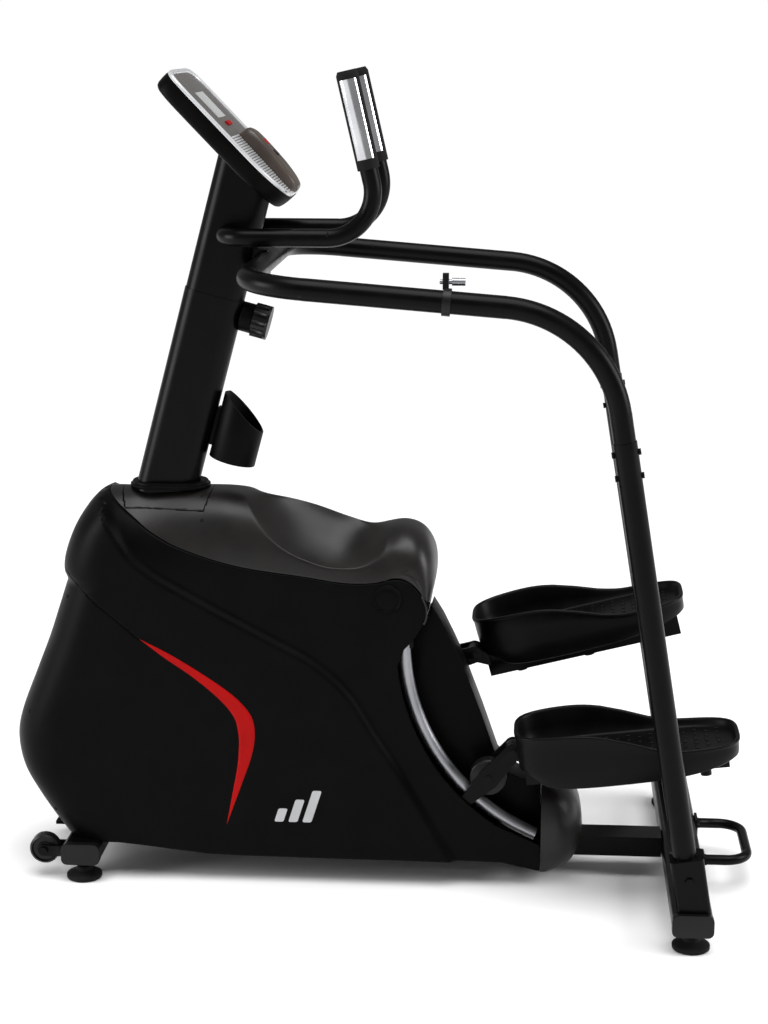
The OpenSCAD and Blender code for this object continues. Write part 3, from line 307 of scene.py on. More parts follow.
# side lines of the housing, x and z in mm: front edge (x by height), then height by x of the shoulder's crease,
# the parting line, the roof, the rim of the scoop and the place where the side begins to roll over
frontLine = curveThrough([(60, -592), (100, -622), (150, -655), (200, -681), (255, -690), (300, -682), (380, -651),
                          (445, -625), (500, -606), (548, -590), (562, -586), (580, -592), (610, -588), (655, -571),
                          (690, -550), (718, -526), (728, -505)])
creaseLine = curveThrough([(-512, 728), (-504, 700), (-489, 666), (-449, 606), (-355, 546), (-195, 460),
                           (-120, 418), (-60, 362), (-13, 286), (30, 220), (92, 112), (140, 30)])
seamLine = curveThrough([(-505, 728), (-481, 711), (-453, 690), (-419, 664), (-366, 637), (-258, 605), (-133, 587),
                         (-61, 577), (-8, 578), (30, 586), (60, 577), (80, 553), (94, 545)])
roofLine = curveThrough([(-505, 730), (-295, 730), (-185, 715), (-125, 701), (-64, 680), (-21, 668), (12, 669),
                         (45, 672), (68, 664), (84, 645), (95, 618), (101, 585), (102, 560)])
rimLine = curveThrough([(-300, 727), (-268, 721), (-239, 686), (-210, 659), (-174, 636), (-133, 618), (-91, 606),
                        (-43, 604), (0, 607), (28, 605), (52, 597), (80, 572), (101, 560)])
rollStartLine = curveThrough([(-512, 728), (-504, 702), (-489, 668), (-449, 612), (-400, 585), (-340, 570),
                              (-260, 558), (-180, 550), (-100, 541), (-20, 531), (60, 522), (110, 515)])
# how square the roll is, from round at the front to fuller at the back
rollPowerLine = curveThrough([(-512, 1.7), (-430, 1.8), (-330, 2.4), (-240, 3.0), (110, 3.0)])
creasePoints = [(x, creaseLine(x)) for x in range(-512, 141, 12)]


def creaseDistance(x, z):  # positive above and behind the shoulder crease
    best = 1e9
    side = 1
    for (x0, z0), (x1, z1) in zip(creasePoints, creasePoints[1:]):
        dx, dz = x1 - x0, z1 - z0
        t = max(0.0, min(1.0, ((x - x0) * dx + (z - z0) * dz) / (dx * dx + dz * dz)))
        d = math.hypot(x - x0 - t * dx, z - z0 - t * dz)
        if d < best:
            best = d
            side = 1 if dx * (z - z0) - dz * (x - x0) > 0 else -1
    return best * side


def halfWidthAt(x, z):  # half of the housing's width at a place on its side, in mm
    h = housing
    depth = x - frontLine(z)
    power = h["frontPower"]
    front = 1.0
    if depth < h["frontRound"]:
        front = (1 - max(0.0, 1 - max(0.0, depth) / h["frontRound"]) ** power) ** (1 / power)
    width = h["halfWidth"] - h["shoulderStep"] * smoothStep(0, h["shoulderRun"], creaseDistance(x, z))
    roll = 1.0
    if x > -512:
        low, high, power = rollStartLine(x), roofLine(x), rollPowerLine(x)
        share = min(1.0, max(0.0, (z - low) / max(1.0, high - low)))
        roll = (1 - share ** power) ** (1 / power)
    return width * front * roll


railCentre = (445, 465)  # the guide rails and all that follows them turn about this point
noseCentre = (12, 556)


def arcPoint(radius, degrees):  # a place on a circle about the rails' centre
    return (railCentre[0] + radius * math.cos(math.radians(degrees)),
            railCentre[1] + radius * math.sin(math.radians(degrees)))


def alongPath(points):  # a place on a broken line, by its share of the length
    lengths = [0.0]
    for a, b in zip(points, points[1:]):
        lengths.append(lengths[-1] + math.hypot(b[0] - a[0], b[1] - a[1]))

    def value(share):
        goal = share * lengths[-1]
        for i in range(len(points) - 1):
            if goal <= lengths[i + 1] or i == len(points) - 2:
                t = (goal - lengths[i]) / max(1e-9, lengths[i + 1] - lengths[i])
                return (lerp(points[i][0], points[i + 1][0], t), lerp(points[i][1], points[i + 1][1], t))
    return value


# the four edges of a side cover
frontPath = alongPath([(frontLine(z), z) for z in range(72, 729, 6)] + [(-505, 728)])
topPath = alongPath([(x, seamLine(x) - 0.9 * smoothStep(-500, -390, x) - 0.05) for x in range(-505, 95, 6)]
                    + [(94, 545)])
rearPath = alongPath([(299, 34), (299, 84)] + [arcPoint(413, a) for a in range(237, 183, -3)]
                     + [(46, 455), (64, 474), (80, 500), (89, 525), (94, 545)])
bottomPath = alongPath([(-599, 73), (-485, 72), (-430, 67), (-370, 60), (-320, 55), (-250, 53), (-108, 52),
                        (78, 51), (226, 49), (299, 34)])


def coverPlace(u, v):  # u runs back from the front, v up; the four edges are blended into one sheet
    h = housing
    frontShare = h["frontColumns"] / h["columns"]
    left, right = frontPath(v), rearPath(v)
    run = h["frontRound"] / max(120.0, right[0] - left[0])
    if u <= frontShare:  # columns crowd together where the front turns the corner
        angle = u / frontShare * math.pi / 2
        s = run * (1 - math.cos(angle) ** (2 / h["frontPower"]))
    else:
        s = lerp(run, 1.0, (u - frontShare) / (1 - frontShare))
    top, bottom = topPath(s), bottomPath(s)
    corners = (frontPath(0), rearPath(0), frontPath(1), rearPath(1))
    x = (lerp(bottom[0], top[0], v) + lerp(left[0], right[0], s)
         - lerp(lerp(corners[0][0], corners[1][0], s), lerp(corners[2][0], corners[3][0], s), v))
    z = (lerp(bottom[1], top[1], v) + lerp(left[1], right[1], s)
         - lerp(lerp(corners[0][1], corners[1][1], s), lerp(corners[2][1], corners[3][1], s), v))
    gap = h["seamHalfGap"]
    width = gap if u < 1e-6 else max(gap, halfWidthAt(x, z))  # the two halves meet at the front
    return Vector((x, -width, z)) * mm


def pressGroove(bm, start, end, widthMm, depthMm):  # a straight parting line pressed into the side
    # rows of new corners are cut along the line, then those between them are pushed in
    run = Vector((end[0] - start[0], 0, end[1] - start[1]))
    normal = Vector((-run.z, 0, run.x)).normalized()
    length = run.length
    for offset in (-widthMm, -widthMm / 3, widthMm / 3, widthMm):
        near = [f for f in bm.faces if grooveSpan(f.calc_center_median(), start, run, normal, length)]
        geom = list({v for f in near for v in f.verts}) + list({e for f in near for e in f.edges}) + near
        bmesh.ops.bisect_plane(bm, geom=geom, dist=1e-7, plane_no=normal,
                               plane_co=(Vector((start[0], 0, start[1])) + normal * offset) * mm)
    for vert in bm.verts:
        rel = vert.co / mm - Vector((start[0], 0, start[1]))
        if abs(rel.dot(normal)) < widthMm / 2 and -1 < rel.dot(run.normalized()) < length + 1:
            vert.co.y += depthMm * mm


def grooveSpan(point, start, run, normal, length):  # true close to the line
    rel = point / mm - Vector((start[0], 0, start[1]))
    return abs(rel.dot(normal)) < 14 and -8 < rel.dot(run.normalized()) < length + 8


groove = {"start": (-588, 594), "end": (-437, 467), "width": 2.4, "depth": 1.6}
recess = {"radius": 443, "from": 181, "sweep": 58, "outer": -104, "inner": -40, "steps": 36, "wall": 2}
for sideName, turn in (("left", False), ("right", True)):
    bm = bmesh.new()
    gridSurface(bm, housing["columns"], housing["rows"], coverPlace)
    pressGroove(bm, groove["start"], groove["end"], groove["width"], groove["depth"])
    bmesh.ops.recalc_face_normals(bm, faces=bm.faces)
    outermost = min(bm.faces, key=lambda f: f.calc_center_median().y)
    if outermost.normal.y > 0:
        bmesh.ops.reverse_faces(bm, faces=bm.faces)
    if turn:
        mirrored(bm)
    cover = finishPiece(sideName + "_cover_shell", bm, materials["texturedAbs"], "frame", "cover_plastic",
                        (sideName + "_side_cover",), 50, recalc=False)
    addModifier(cover, "SOLIDIFY", thickness=housing["wall"] * mm, offset=-1.0)

    liner = bmesh.new()  # the wall behind the guide rail
    for y in (recess["outer"], recess["inner"]):
        x, z = arcPoint(recess["radius"], recess["from"])
        liner.verts.new((x * mm, y * mm, z * mm))
    liner.verts.ensure_lookup_table()
    edge = liner.edges.new(liner.verts[:2])
    bmesh.ops.spin(liner, geom=[edge, *liner.verts[:]], cent=(railCentre[0] * mm, 0, railCentre[1] * mm),
                   axis=(0, -1, 0), angle=math.radians(recess["sweep"]), steps=recess["steps"], use_duplicate=False)
    if turn:
        bmesh.ops.scale(liner, vec=(1, -1, 1), verts=liner.verts)
    linerPiece = finishPiece(sideName + "_rail_recess", liner, materials["texturedAbs"], "frame", "cover_plastic")
    addModifier(linerPiece, "SOLIDIFY", thickness=recess["wall"] * mm, offset=0.0)
print("side covers made")


saddle = {"columns": 190, "rows": 46, "seamGap": 1.2, "wall": 3.0, "noseShare": 0.74, "noseEnd": -37}
# how the hollow for the knee is shaped along the saddle: below 1 it is scooped, above 1 it bulges
hollowPower = curveThrough([(-300, 2.6), (-240, 1.5), (-180, 0.95), (-110, 0.78), (-50, 0.85), (-5, 1.4),
                            (12, 1.8)])
# the nose is rolled about its centre: distances of the seam, the rim and the outside at each angle
noseSeam = curveThrough([(-40, 88), (-32, 87), (-17, 79.4), (-2.5, 68), (23.6, 52.4), (54.6, 38), (90, 25.5)])
noseRim = curveThrough([(-40, 88), (-2.5, 69), (13, 66), (46, 57.3), (72, 51.5), (90, 50)])
noseRoof = curveThrough([(-40, 91), (-9, 84.5), (15.5, 93.4), (39, 109.5), (58, 120.4), (73.7, 120.6), (90, 113)])


def sectionLevels(low, start, rim, high, q, power, halfWidth, hollow, weight):
    # how far out a section stands and how wide it is there: a rolled edge, less the hollow for the knee
    startShare = min(0.995, max(0.0, (low - start) / max(1.0, high - start)))
    q0 = (1 - startShare ** power) ** (1 / power)
    level = start + (high - start) * (1 - (q0 * q) ** power) ** (1 / power)
    y = halfWidth * q
    if weight > 0 and level > rim:
        sunk = rim + (high - rim) * (1 - min(1.0, q * 1.015) ** hollow) ** (1 / hollow)
        near = max(0.0, 5 - abs(level - sunk)) / 5
        level = lerp(level, min(level, sunk) - near * near * 1.25, weight)
    return level, y


def saddlePlace(u, v):  # u runs from the front to the nose, v from the left seam over the roof to the right seam
    side = -1 if v < 0.5 else 1
    q = 1 - (1 - abs(v - 0.5) * 2) ** 1.8  # 1 at a seam, 0 on the centre line
    if u <= saddle["noseShare"]:
        x = lerp(-503, noseCentre[0], (u / saddle["noseShare"]) ** 0.92)
        low = seamLine(x) + saddle["seamGap"] * smoothStep(-500, -390, x)
        high = max(low + 0.5, roofLine(x))
        rim = min(high, max(low, rimLine(x)))
        z, y = sectionLevels(low, min(low, rollStartLine(x)), rim, high, q, rollPowerLine(x), halfWidthAt(x, low),
                             hollowPower(x), smoothStep(-296, -225, x))
        return Vector((x, side * y, z)) * mm
    angle = lerp(90, saddle["noseEnd"], (u - saddle["noseShare"]) / (1 - saddle["noseShare"]))
    low = noseSeam(angle) + saddle["seamGap"]
    high = max(low + 0.5, noseRoof(angle))
    rim = min(high, max(low, noseRim(angle)))
    along = (math.cos(math.radians(angle)), math.sin(math.radians(angle)))
    width = halfWidthAt(noseCentre[0] + along[0] * low, noseCentre[1] + along[1] * low)
    start = low - 53 * smoothStep(40, 90, angle)
    reach, y = sectionLevels(low, start, rim, high, q, 3.0, width, lerp(3.0, 1.8, smoothStep(35, 90, angle)), 1.0)
    return Vector((noseCentre[0] + along[0] * reach, side * y, noseCentre[1] + along[1] * reach)) * mm


def saddleMesh():
    bm = bmesh.new()
    gridSurface(bm, saddle["columns"], saddle["rows"] * 2, saddlePlace)
    bmesh.ops.remove_doubles(bm, verts=bm.verts, dist=mergeDistance)
    bmesh.ops.recalc_face_normals(bm, faces=bm.faces)
    if max(bm.faces, key=lambda f: f.calc_center_median().z).normal.z < 0:
        bmesh.ops.reverse_faces(bm, faces=bm.faces)
    return bm


panelGap = 1.0
panelOutline = [(-485, 742), (-466, 701), (-322, 699), (-308, 742)]


def cutPanel(bm, gapMm, keepInside):  # cut the removable panel round the mast out of the roof, or keep only it
    planes = []
    for (x0, z0), (x1, z1) in zip(panelOutline, panelOutline[1:]):
        normal = Vector((z1 - z0, 0, -(x1 - x0))).normalized()
        planes.append((Vector((x0, 0, z0)) + normal * gapMm, normal))
    for point, normal in planes:
        bmesh.ops.bisect_plane(bm, geom=bm.verts[:] + bm.edges[:] + bm.faces[:], dist=1e-7, plane_co=point * mm,
                               plane_no=normal)
    drop = []
    for face in bm.faces:
        centre = face.calc_center_median() / mm
        inside = all((centre - point).dot(normal) < 0 for point, normal in planes)
        if inside != keepInside:
            drop.append(face)
    bmesh.ops.delete(bm, geom=drop, context="FACES")


under = {"half": 104, "back": 1.5, "columns": 30, "rows": 8, "wall": 2}
saddleBm = saddleMesh()
cutPanel(saddleBm, 0.0, False)
saddlePiece = finishPiece("saddle_shell", saddleBm, materials["satinAbsWithPaintedLight"], "frame", "saddle_plastic",
                          ("saddle_cover",), 50, recalc=False)
addModifier(saddlePiece, "SOLIDIFY", thickness=saddle["wall"] * mm, offset=-1.0)
panelBm = saddleMesh()
cutPanel(panelBm, -panelGap, True)
panelPiece = finishPiece("mast_panel", panelBm, materials["satinAbsWithPaintedLight"], "frame", "saddle_plastic",
                         ("access_panel",), 50, recalc=False)
addModifier(panelPiece, "SOLIDIFY", thickness=saddle["wall"] * mm, offset=-1.0)
noseUnder = alongPath([(88, 514), (80, 500), (64, 474), (46, 455), (33, 450), (2, 456)])
bm = bmesh.new()
gridSurface(bm, under["columns"], under["rows"], lambda u, v: Vector(
    (noseUnder(u)[0] - under["back"], lerp(-under["half"], under["half"], v), noseUnder(u)[1])) * mm)
underPiece = finishPiece("nose_underside", bm, materials["texturedAbs"], "frame", "cover_plastic", (), 50)
addModifier(underPiece, "SOLIDIFY", thickness=under["wall"] * mm, offset=0.0)
print("saddle and panel made")


stripe = {"proud": 0.5, "thick": 1.0, "columns": 90, "rows": 6}
# the stripe's two edges, by the share of its length: x and z of the outer one, then of the inner one
stripeOuter = curveThrough([(0.0, -436), (0.12, -379), (0.26, -319), (0.4, -272), (0.5, -246), (0.57, -231),
                            (0.65, -227), (0.75, -234), (0.86, -252), (1.0, -282)])
stripeOuterZ = curveThrough([(0.0, 468), (0.12, 439), (0.26, 402), (0.4, 369), (0.5, 344), (0.57, 320),
                             (0.65, 287), (0.75, 247), (0.86, 195), (1.0, 113)])
stripeInner = curveThrough([(0.0, -436), (0.12, -392), (0.26, -340), (0.4, -291), (0.5, -264), (0.57, -257),
                            (0.65, -257), (0.75, -260), (0.86, -269), (1.0, -282)])
stripeInnerZ = curveThrough([(0.0, 468), (0.12, 434), (0.26, 398), (0.4, 356), (0.5, 321), (0.57, 288),
                             (0.65, 262), (0.75, 228), (0.86, 180), (1.0, 113)])


def stripePlace(u, v):
    x = lerp(stripeInner(u), stripeOuter(u), v)
    z = lerp(stripeInnerZ(u), stripeOuterZ(u), v)
    return Vector((x, -(halfWidthAt(x, z) + stripe["proud"]), z)) * mm


bm = bmesh.new()
gridSurface(bm, stripe["columns"], stripe["rows"], stripePlace)
bmesh.ops.recalc_face_normals(bm, faces=bm.faces)
if sum(f.normal.y for f in bm.faces) > 0:
    bmesh.ops.reverse_faces(bm, faces=bm.faces)
addMirrorImage(bm)
stripePiece = finishPiece("stripe_pair", bm, materials["printedRed"], "frame", "red_plastic",
                          ("accent_stripes",), 50, recalc=False)
addModifier(stripePiece, "SOLIDIFY", thickness=stripe["thick"] * mm, offset=-1.0)


fairing = {"start": 299.6, "low": 24, "high": 189, "count": 96, "rows": 18, "endPower": 0.75, "sidePower": 0.62}
# how far back it reaches and how wide it is, by height
fairingRear = curveThrough([(24, 330), (31, 352), (56, 370), (88, 377), (125, 374), (150, 366), (170, 352),
                            (182, 338), (188, 318)])
fairingHalf = curveThrough([(24, 86), (60, 104), (110, 108), (150, 102), (176, 92), (188, 76)])


def fairingPlace(angle, share, scale):
    z = lerp(fairing["low"], fairing["high"], share)
    reach = (fairingRear(z) - fairing["start"]) * scale
    x = fairing["start"] + max(0.0, signedPower(math.cos(angle), fairing["endPower"])) * reach
    y = signedPower(math.sin(angle), fairing["sidePower"]) * fairingHalf(z) * scale
    return Vector((x, y, z)) * mm


bm = bmesh.new()
rows = fairing["rows"]
fairingSteps = [(0.0, 0.8)] + [(i / rows, 1.0) for i in range(rows + 1)] + [(1.0, 0.85), (1.0, 0.5), (1.0, 0.15)]
ringLoft(bm, fairing["count"], fairingPlace, fairingSteps)
finishPiece("fairing_shell", bm, materials["satinAbsWithPaintedLight"], "frame", "fairing_plastic", ("rear_fairing",), 50)


boss = {  # the round boss at the nose; each step is a radius and how far it stands proud
    "x": 16, "z": 549, "count": 72,
    "steps": [(27, -6), (27, 1.2), (26, 2.4), (24, 2.6), (22.5, 1.6), (22, 0.2), (20, -0.2), (17, 0.8), (9, 1.4),
              (2, 1.5)],
}


def bossPlace(angle, radius, depth):
    x = boss["x"] + math.cos(angle) * radius
    z = boss["z"] + math.sin(angle) * radius
    return Vector((x, -(halfWidthAt(boss["x"], boss["z"]) + depth), z)) * mm


bm = bmesh.new()
ringLoft(bm, boss["count"], bossPlace, boss["steps"])
addMirrorImage(bm)
finishPiece("nose_boss_pair", bm, materials["texturedAbs"], "frame", "cover_plastic", (), 40)

screws = {
    "places": [(-577, 535), (-655, 314), (-609, 126), (-502, 712), (-323, 685), (-328, 722)],
    "radius": 4, "height": 2.4, "sunk": 0.2,
}
bm = bmesh.new()
for x, z in screws["places"]:
    for side in (-1, 1):
        width = halfWidthAt(x, z)
        normal = Vector((width - halfWidthAt(x + 2, z), 2, width - halfWidthAt(x, z + 2))).normalized()
        turn = Vector((0, 0, 1)).rotation_difference(Vector((normal.x, side * normal.y, normal.z)))
        head = bmesh.ops.create_cone(bm, cap_ends=True, segments=20, radius1=screws["radius"] * mm,
                                     radius2=screws["radius"] * 0.8 * mm, depth=screws["height"] * mm)["verts"]
        place = Matrix.Translation(Vector((x, side * (width - screws["sunk"]), z)) * mm) @ turn.to_matrix().to_4x4()
        bmesh.ops.transform(bm, matrix=place, verts=head)
finishPiece("cover_screws", bm, materials["vulcanisedRubber"], "frame", "cover_plastic", (), 40)

# a plain mark of three rising bars; each bar is a start and a height
mark = {"x": -193, "z": 122, "bars": [(0, 26), (26, 44), (52, 62)], "width": 17, "lean": 0.32, "thick": 0.8,
        "corner": 3.5}
bm = bmesh.new()
for side in (-1, 1):
    for start, height in mark["bars"]:
        bar = bmesh.ops.create_cube(bm, size=1.0)["verts"]
        for vert in bar:
            up = (vert.co.z + 0.5) * height
            x = mark["x"] + start + (vert.co.x + 0.5) * mark["width"] + up * mark["lean"]
            vert.co = Vector((x, side * (housing["halfWidth"] + vert.co.y * mark["thick"]), mark["z"] + up)) * mm
corners = [e for e in bm.edges if abs(e.verts[0].co.y - e.verts[1].co.y) > 0.0005]
bmesh.ops.bevel(bm, geom=corners, offset=mark["corner"] * mm, offset_type="OFFSET", segments=5, profile=0.5,
                affect="EDGES", material=-1)
finishPiece("cover_mark", bm, materials["silverPrint"], "frame", "bezel_silver", (), 40)
print("housing trim made")


pedal = {
    "length": 400, "width": 186, "toe": 9, "middle": 136, "corner": 0.5, "count": 144,
    "arm": 284.3, "lowAngle": 225.6, "swing": 32, "lowTilt": 7.0, "highTilt": 14.5,
}
# by the distance from the toe: how high the rim is above the tread, and how deep the wall hangs below it
rimHeight = curveThrough([(9, 60), (60, 62), (120, 62), (160, 57), (200, 46), (235, 33), (265, 24), (300, 18),
                          (409, 17)])
wallDepth = curveThrough([(9, 0), (30, 4), (60, 22), (110, 28), (250, 27), (330, 20), (409, 4)])


def pedalFrames():  # where each pedal is hung, how it is tipped, and its side
    low = arcPoint(pedal["arm"], pedal["lowAngle"])
    high = arcPoint(pedal["arm"], pedal["lowAngle"] - pedal["swing"])
    return {"left": (low, pedal["lowTilt"], -1), "right": (high, pedal["highTilt"], 1)}


def pedalPoint(frameOf, u, w, v):  # u towards the heel, w outwards across, v up from the tread
    (px, pz), tilt, side = frameOf
    t = math.radians(tilt)
    x = px + u * math.cos(t) - v * math.sin(t)
    z = pz + u * math.sin(t) + v * math.cos(t)
    return Vector((x, side * (pedal["middle"] + w), z)) * mm


# each step of the tray: inset, level, then shares of the rim's height and of the wall's depth; from the underside
# up the outside, over the lip, down the inside and across the tread
traySteps = [(18, -9, 0), (12, -9, 0, 0.8), (7, -8.5, 0, 1), (3.5, -6, 0, 1), (2.6, 0, 0), (1.8, 0, 0.5),
             (1.5, -7, 1.0), (-0.2, -4.5, 1.0), (-0.4, -1.5, 1.0), (1.2, 0.3, 1.0), (4.2, 0.4, 1.0),
             (6.4, -1.2, 1.0), (7.4, -5, 1.0), (8.5, 1.5, 0.5), (10, 6, 0), (13, 3.2, 0), (17, 2.5, 0),
             (40, 2.5, 0), (80, 2.5, 0)]
tread = {"rows": 17, "columns": 6, "start": 52, "pitch": 20, "side": -62, "step": 25, "stagger": 6,
         "bar": (7, 16, 2.6), "edge": 0.6}
for sideName, frameOf in pedalFrames().items():
    def trayPlace(angle, inset, level, share, depth=0.0, frameOf=frameOf):
        halfLength = pedal["length"] / 2 - inset
        halfWidth = pedal["width"] / 2 - inset
        u = pedal["toe"] + pedal["length"] / 2 + signedPower(math.cos(angle), pedal["corner"]) * halfLength
        w = signedPower(math.sin(angle), pedal["corner"]) * halfWidth
        v = level + share * rimHeight(u) - depth * wallDepth(u)
        return pedalPoint(frameOf, u, w, v)

    bm = bmesh.new()
    ringLoft(bm, pedal["count"], trayPlace, traySteps)
    finishPiece(sideName + "_pedal_tray", bm, materials["mouldedPolypropylene"], sideName + "_pedal",
                "pedal_plastic", (sideName + "_pedal",), 60)

    bars = bmesh.new()  # raised grip bars on the tread
    long, wide, tall = tread["bar"]
    for row in range(tread["rows"]):
        for column in range(tread["columns"]):
            u = tread["start"] + row * tread["pitch"]
            w = tread["side"] + column * tread["step"] + (tread["stagger"] if row % 2 else -tread["stagger"])
            made = bmesh.ops.create_cube(bars, size=1.0)["verts"]
            for vert in made:
                local = vert.co
                vert.co = pedalPoint(frameOf, u + local.x * long, w + local.y * wide, tall + local.z * tall)
    bmesh.ops.bevel(bars, geom=bars.edges[:], offset=tread["edge"] * mm, offset_type="OFFSET", segments=1,
                    profile=0.5, affect="EDGES", material=-1)
    finishPiece(sideName + "_tread_bars", bars, materials["mouldedPolypropylene"], sideName + "_pedal",
                "pedal_plastic")
print("pedals made")


console = {
    "top": (-357, 1475), "slope": 46.1, "start": -12, "length": 290, "half": 127, "corner": 0.27, "count": 168,
    "taperStart": 190, "taper": 46,
}


def consolePoint(u, w, n):  # u down the face, w across, n out of the face
    t = math.radians(console["slope"])
    x = console["top"][0] + u * math.cos(t) + n * math.sin(t)
    z = console["top"][1] - u * math.sin(t) + n * math.cos(t)
    return Vector((x, w, z)) * mm


def consoleHalf(u):  # half width, drawn in towards the lower end
    share = max(0.0, u - console["taperStart"]) / 100
    return console["half"] - console["taper"] * share ** 2


def consolePlace(angle, inset, n):  # every step below is an inset and a height out of the face
    half = (console["length"] - console["start"]) / 2
    u = console["start"] + half + signedPower(math.cos(angle), console["corner"]) * (half - inset)
    w = signedPower(math.sin(angle), console["corner"]) * (consoleHalf(u) - inset)
    return consolePoint(u, w, n)


bm = bmesh.new()
ringLoft(bm, console["count"], consolePlace,
         [(40, -34.6), (12, -34.4), (6, -33), (2.5, -30), (0.8, -25), (0.2, -14), (0.2, -6), (1.2, -2.6), (8, -2.2)],
         capEnd=False)
finishPiece("console_shell", bm, materials["texturedAbs"], "frame", "cover_plastic", ("console_back",), 50)
bm = bmesh.new()
ringLoft(bm, console["count"], consolePlace,
         [(1.2, -2.5), (0.8, 0), (1.6, 2.4), (3.6, 3.8), (6.2, 3.8), (8.6, 2.6), (9.8, 0.8), (10, -2.5)],
         capStart=False, capEnd=False)
finishPiece("console_rim", bm, materials["silverLacquer"], "frame", "bezel_silver", ("console_bezel",), 50)

bm = bmesh.new()
ringLoft(bm, console["count"], consolePlace, [(9.6, -3), (9.6, 0.1), (10.4, 0.2), (30, 0.2), (60, 0.2)],
         capStart=False)
finishPiece("console_panel", bm, materials["greyPolycarbonate"], "frame", "console_grey", ("console_face",), 50)

pod = {"start": 146, "end": 288, "count": 96, "corner": 0.5}
# half width and height of the pod, by the distance down the face
podHalf = curveThrough([(146, 25), (170, 29), (220, 34), (260, 40), (288, 39)])
podRise = curveThrough([(146, 22), (166, 26), (230, 24), (270, 19), (288, 15)])


def podPlace(angle, inset, share):
    middle, reach = (pod["start"] + pod["end"]) / 2, (pod["end"] - pod["start"]) / 2
    u = middle + signedPower(math.cos(angle), pod["corner"]) * (reach - inset)
    w = signedPower(math.sin(angle), pod["corner"]) * (podHalf(u) - inset)
    return consolePoint(u, w, 1 + podRise(u) * share)


bm = bmesh.new()
ringLoft(bm, pod["count"], podPlace, [(0, -0.1), (0.3, 0.5), (1.5, 0.8), (4, 0.95), (8, 1.0), (24, 1.02)])
finishPiece("console_pod_shell", bm, materials["umberPolycarbonate"], "frame", "pod_grey", ("console_pod",), 50)

grille = {"count": 26, "start": 148, "end": 278, "rib": 3.4, "level": 2.6, "edge": 0.8, "bedLevel": 1.4, "bed": 1.2}


def grilleBase(side):  # the flat bed under the ribs, between the pod and the rim
    def place(u, v):
        down = lerp(grille["start"] - 3, grille["end"] + 2, u)
        across = lerp(podHalf(down) - 3, max(podHalf(down), consoleHalf(down) - 9.5), v)
        return consolePoint(down, side * across, grille["bedLevel"])
    return place


bm = bmesh.new()
for side in (-1, 1):
    sheet = bmesh.new()
    gridSurface(sheet, 40, 4, grilleBase(side))
    bmesh.ops.recalc_face_normals(sheet, faces=sheet.faces)
    mergeInto(bm, sheet)
bmesh.ops.solidify(bm, geom=bm.faces[:], thickness=grille["bed"] * mm)
finishPiece("console_grille_bed", bm, materials["greyPolycarbonate"], "frame", "console_grey", (), 40)
bm = bmesh.new()
for side in (-1, 1):
    for i in range(grille["count"]):
        share = i / (grille["count"] - 1)
        u = lerp(grille["start"], grille["end"], share)
        inner, outer = podHalf(u) + 3, consoleHalf(u) - 13
        if outer - inner < 4:  # no room for a rib where the face narrows
            continue
        made = bmesh.ops.create_cube(bm, size=1.0)["verts"]
        for vert in made:
            local = vert.co
            w = lerp(inner, outer, local.y + 0.5)
            vert.co = consolePoint(u + local.x * grille["rib"], side * w, grille["level"] + local.z * grille["rib"])
bmesh.ops.bevel(bm, geom=bm.edges[:], offset=grille["edge"] * mm, offset_type="OFFSET", segments=2, profile=0.5,
                affect="EDGES", material=-1)
finishPiece("console_grilles", bm, materials["silverLacquer"], "frame", "bezel_silver", (), 40)
print("console made")


bpy.ops.mesh.primitive_plane_add(size=90, location=(0, 0, -0.0005))
floor = bpy.context.object
floor.name = "studioFloor"
floorMaterial = bpy.data.materials.new("paintedFloor")
floorMaterial.use_nodes = True
floorShader = floorMaterial.node_tree.nodes["Principled BSDF"]
floorShader.inputs["Base Color"].default_value = linearFromHex("#f2f2f2")
floorShader.inputs["Roughness"].default_value = 0.9
floor.data.materials.append(floorMaterial)

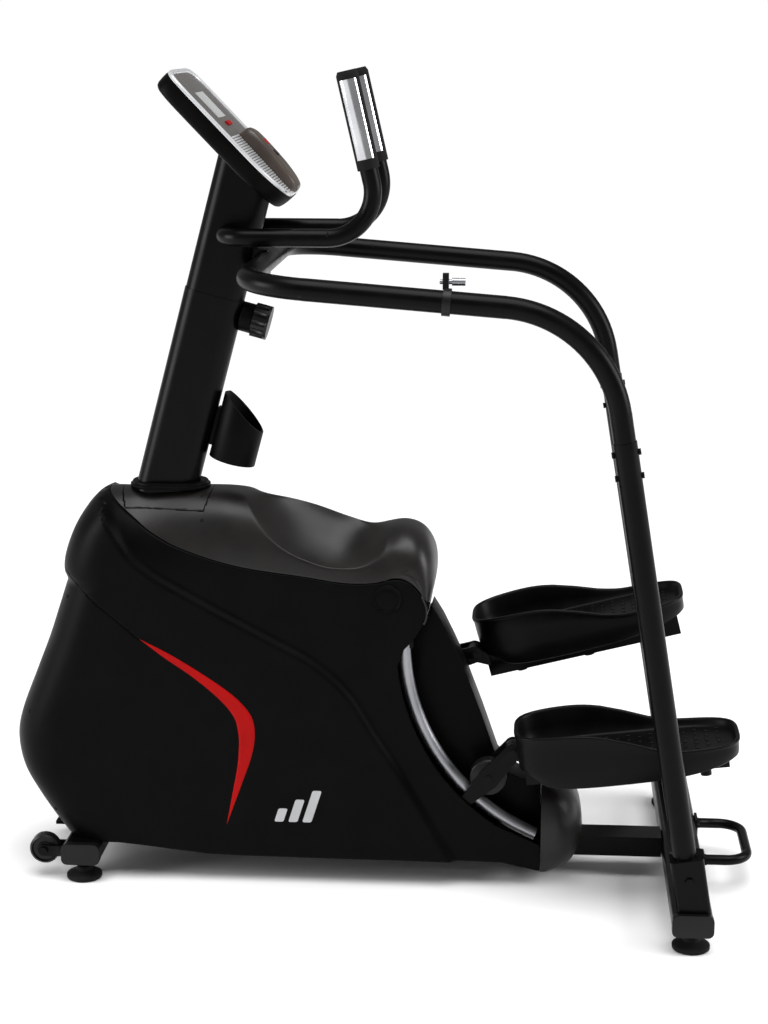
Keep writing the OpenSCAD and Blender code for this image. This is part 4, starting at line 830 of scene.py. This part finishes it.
lights = {  # two wide soft boxes, power in watts
    "leftSoft": {"at": (-3.8, -1.4, 1.5), "aim": (0, 0, 0.6), "size": 1.8, "power": 95},
    "rightSoft": {"at": (3.6, -0.4, 2.0), "aim": (0, 0, 0.7), "size": 1.8, "power": 80},
}
for name, light in lights.items():
    data = bpy.data.lights.new(name, "AREA")
    data.size = light["size"]
    data.energy = light["power"]
    lamp = bpy.data.objects.new(name, data)
    lamp.location = light["at"]
    lamp.rotation_euler = (Vector(light["aim"]) - Vector(light["at"])).to_track_quat("-Z", "Y").to_euler()
    bpy.context.scene.collection.objects.link(lamp)
skyData = bpy.data.lights.new("ceilingSoft", "SUN")  # one broad soft light from above, even over the whole floor
skyData.energy = 3.0
skyData.angle = math.radians(50)
skyLamp = bpy.data.objects.new("ceilingSoft", skyData)
skyLamp.location = (0, 0, 4)
skyLamp.rotation_euler = (math.radians(12), math.radians(4), 0)
bpy.context.scene.collection.objects.link(skyLamp)

world = bpy.data.worlds.new("paleStudio")  # a white backdrop to look at, and a dim room for the light it gives
world.use_nodes = True
world.node_tree.nodes.clear()
seen = addNode(world.node_tree, "ShaderNodeLightPath")
backdrop = addNode(world.node_tree, "ShaderNodeBackground", {"Color": linearFromHex("#ffffff"), "Strength": 1.0})
room = addNode(world.node_tree, "ShaderNodeBackground", {"Color": linearFromHex("#f4f4f4"), "Strength": 0.3})
chosen = addNode(world.node_tree, "ShaderNodeMixShader", {}, {"Fac": (seen, "Is Camera Ray")})
world.node_tree.links.new(room.outputs[0], chosen.inputs[1])
world.node_tree.links.new(backdrop.outputs[0], chosen.inputs[2])
addNode(world.node_tree, "ShaderNodeOutputWorld", {}, {"Surface": (chosen, "Shader")})
bpy.context.scene.world = world
bpy.context.scene.view_settings.view_transform = "Standard"

cameraData = bpy.data.cameras.new("camera")
cameraData.sensor_fit = "VERTICAL"
cameraData.sensor_height = 36
cameraData.lens = 73.83
camera = bpy.data.objects.new("camera", cameraData)
camera.location = (0.278, -3.756, 1.556)
camera.rotation_euler = (math.radians(77), 0, math.radians(4.2))
bpy.context.scene.collection.objects.link(camera)
bpy.context.scene.camera = camera
print("stage set")
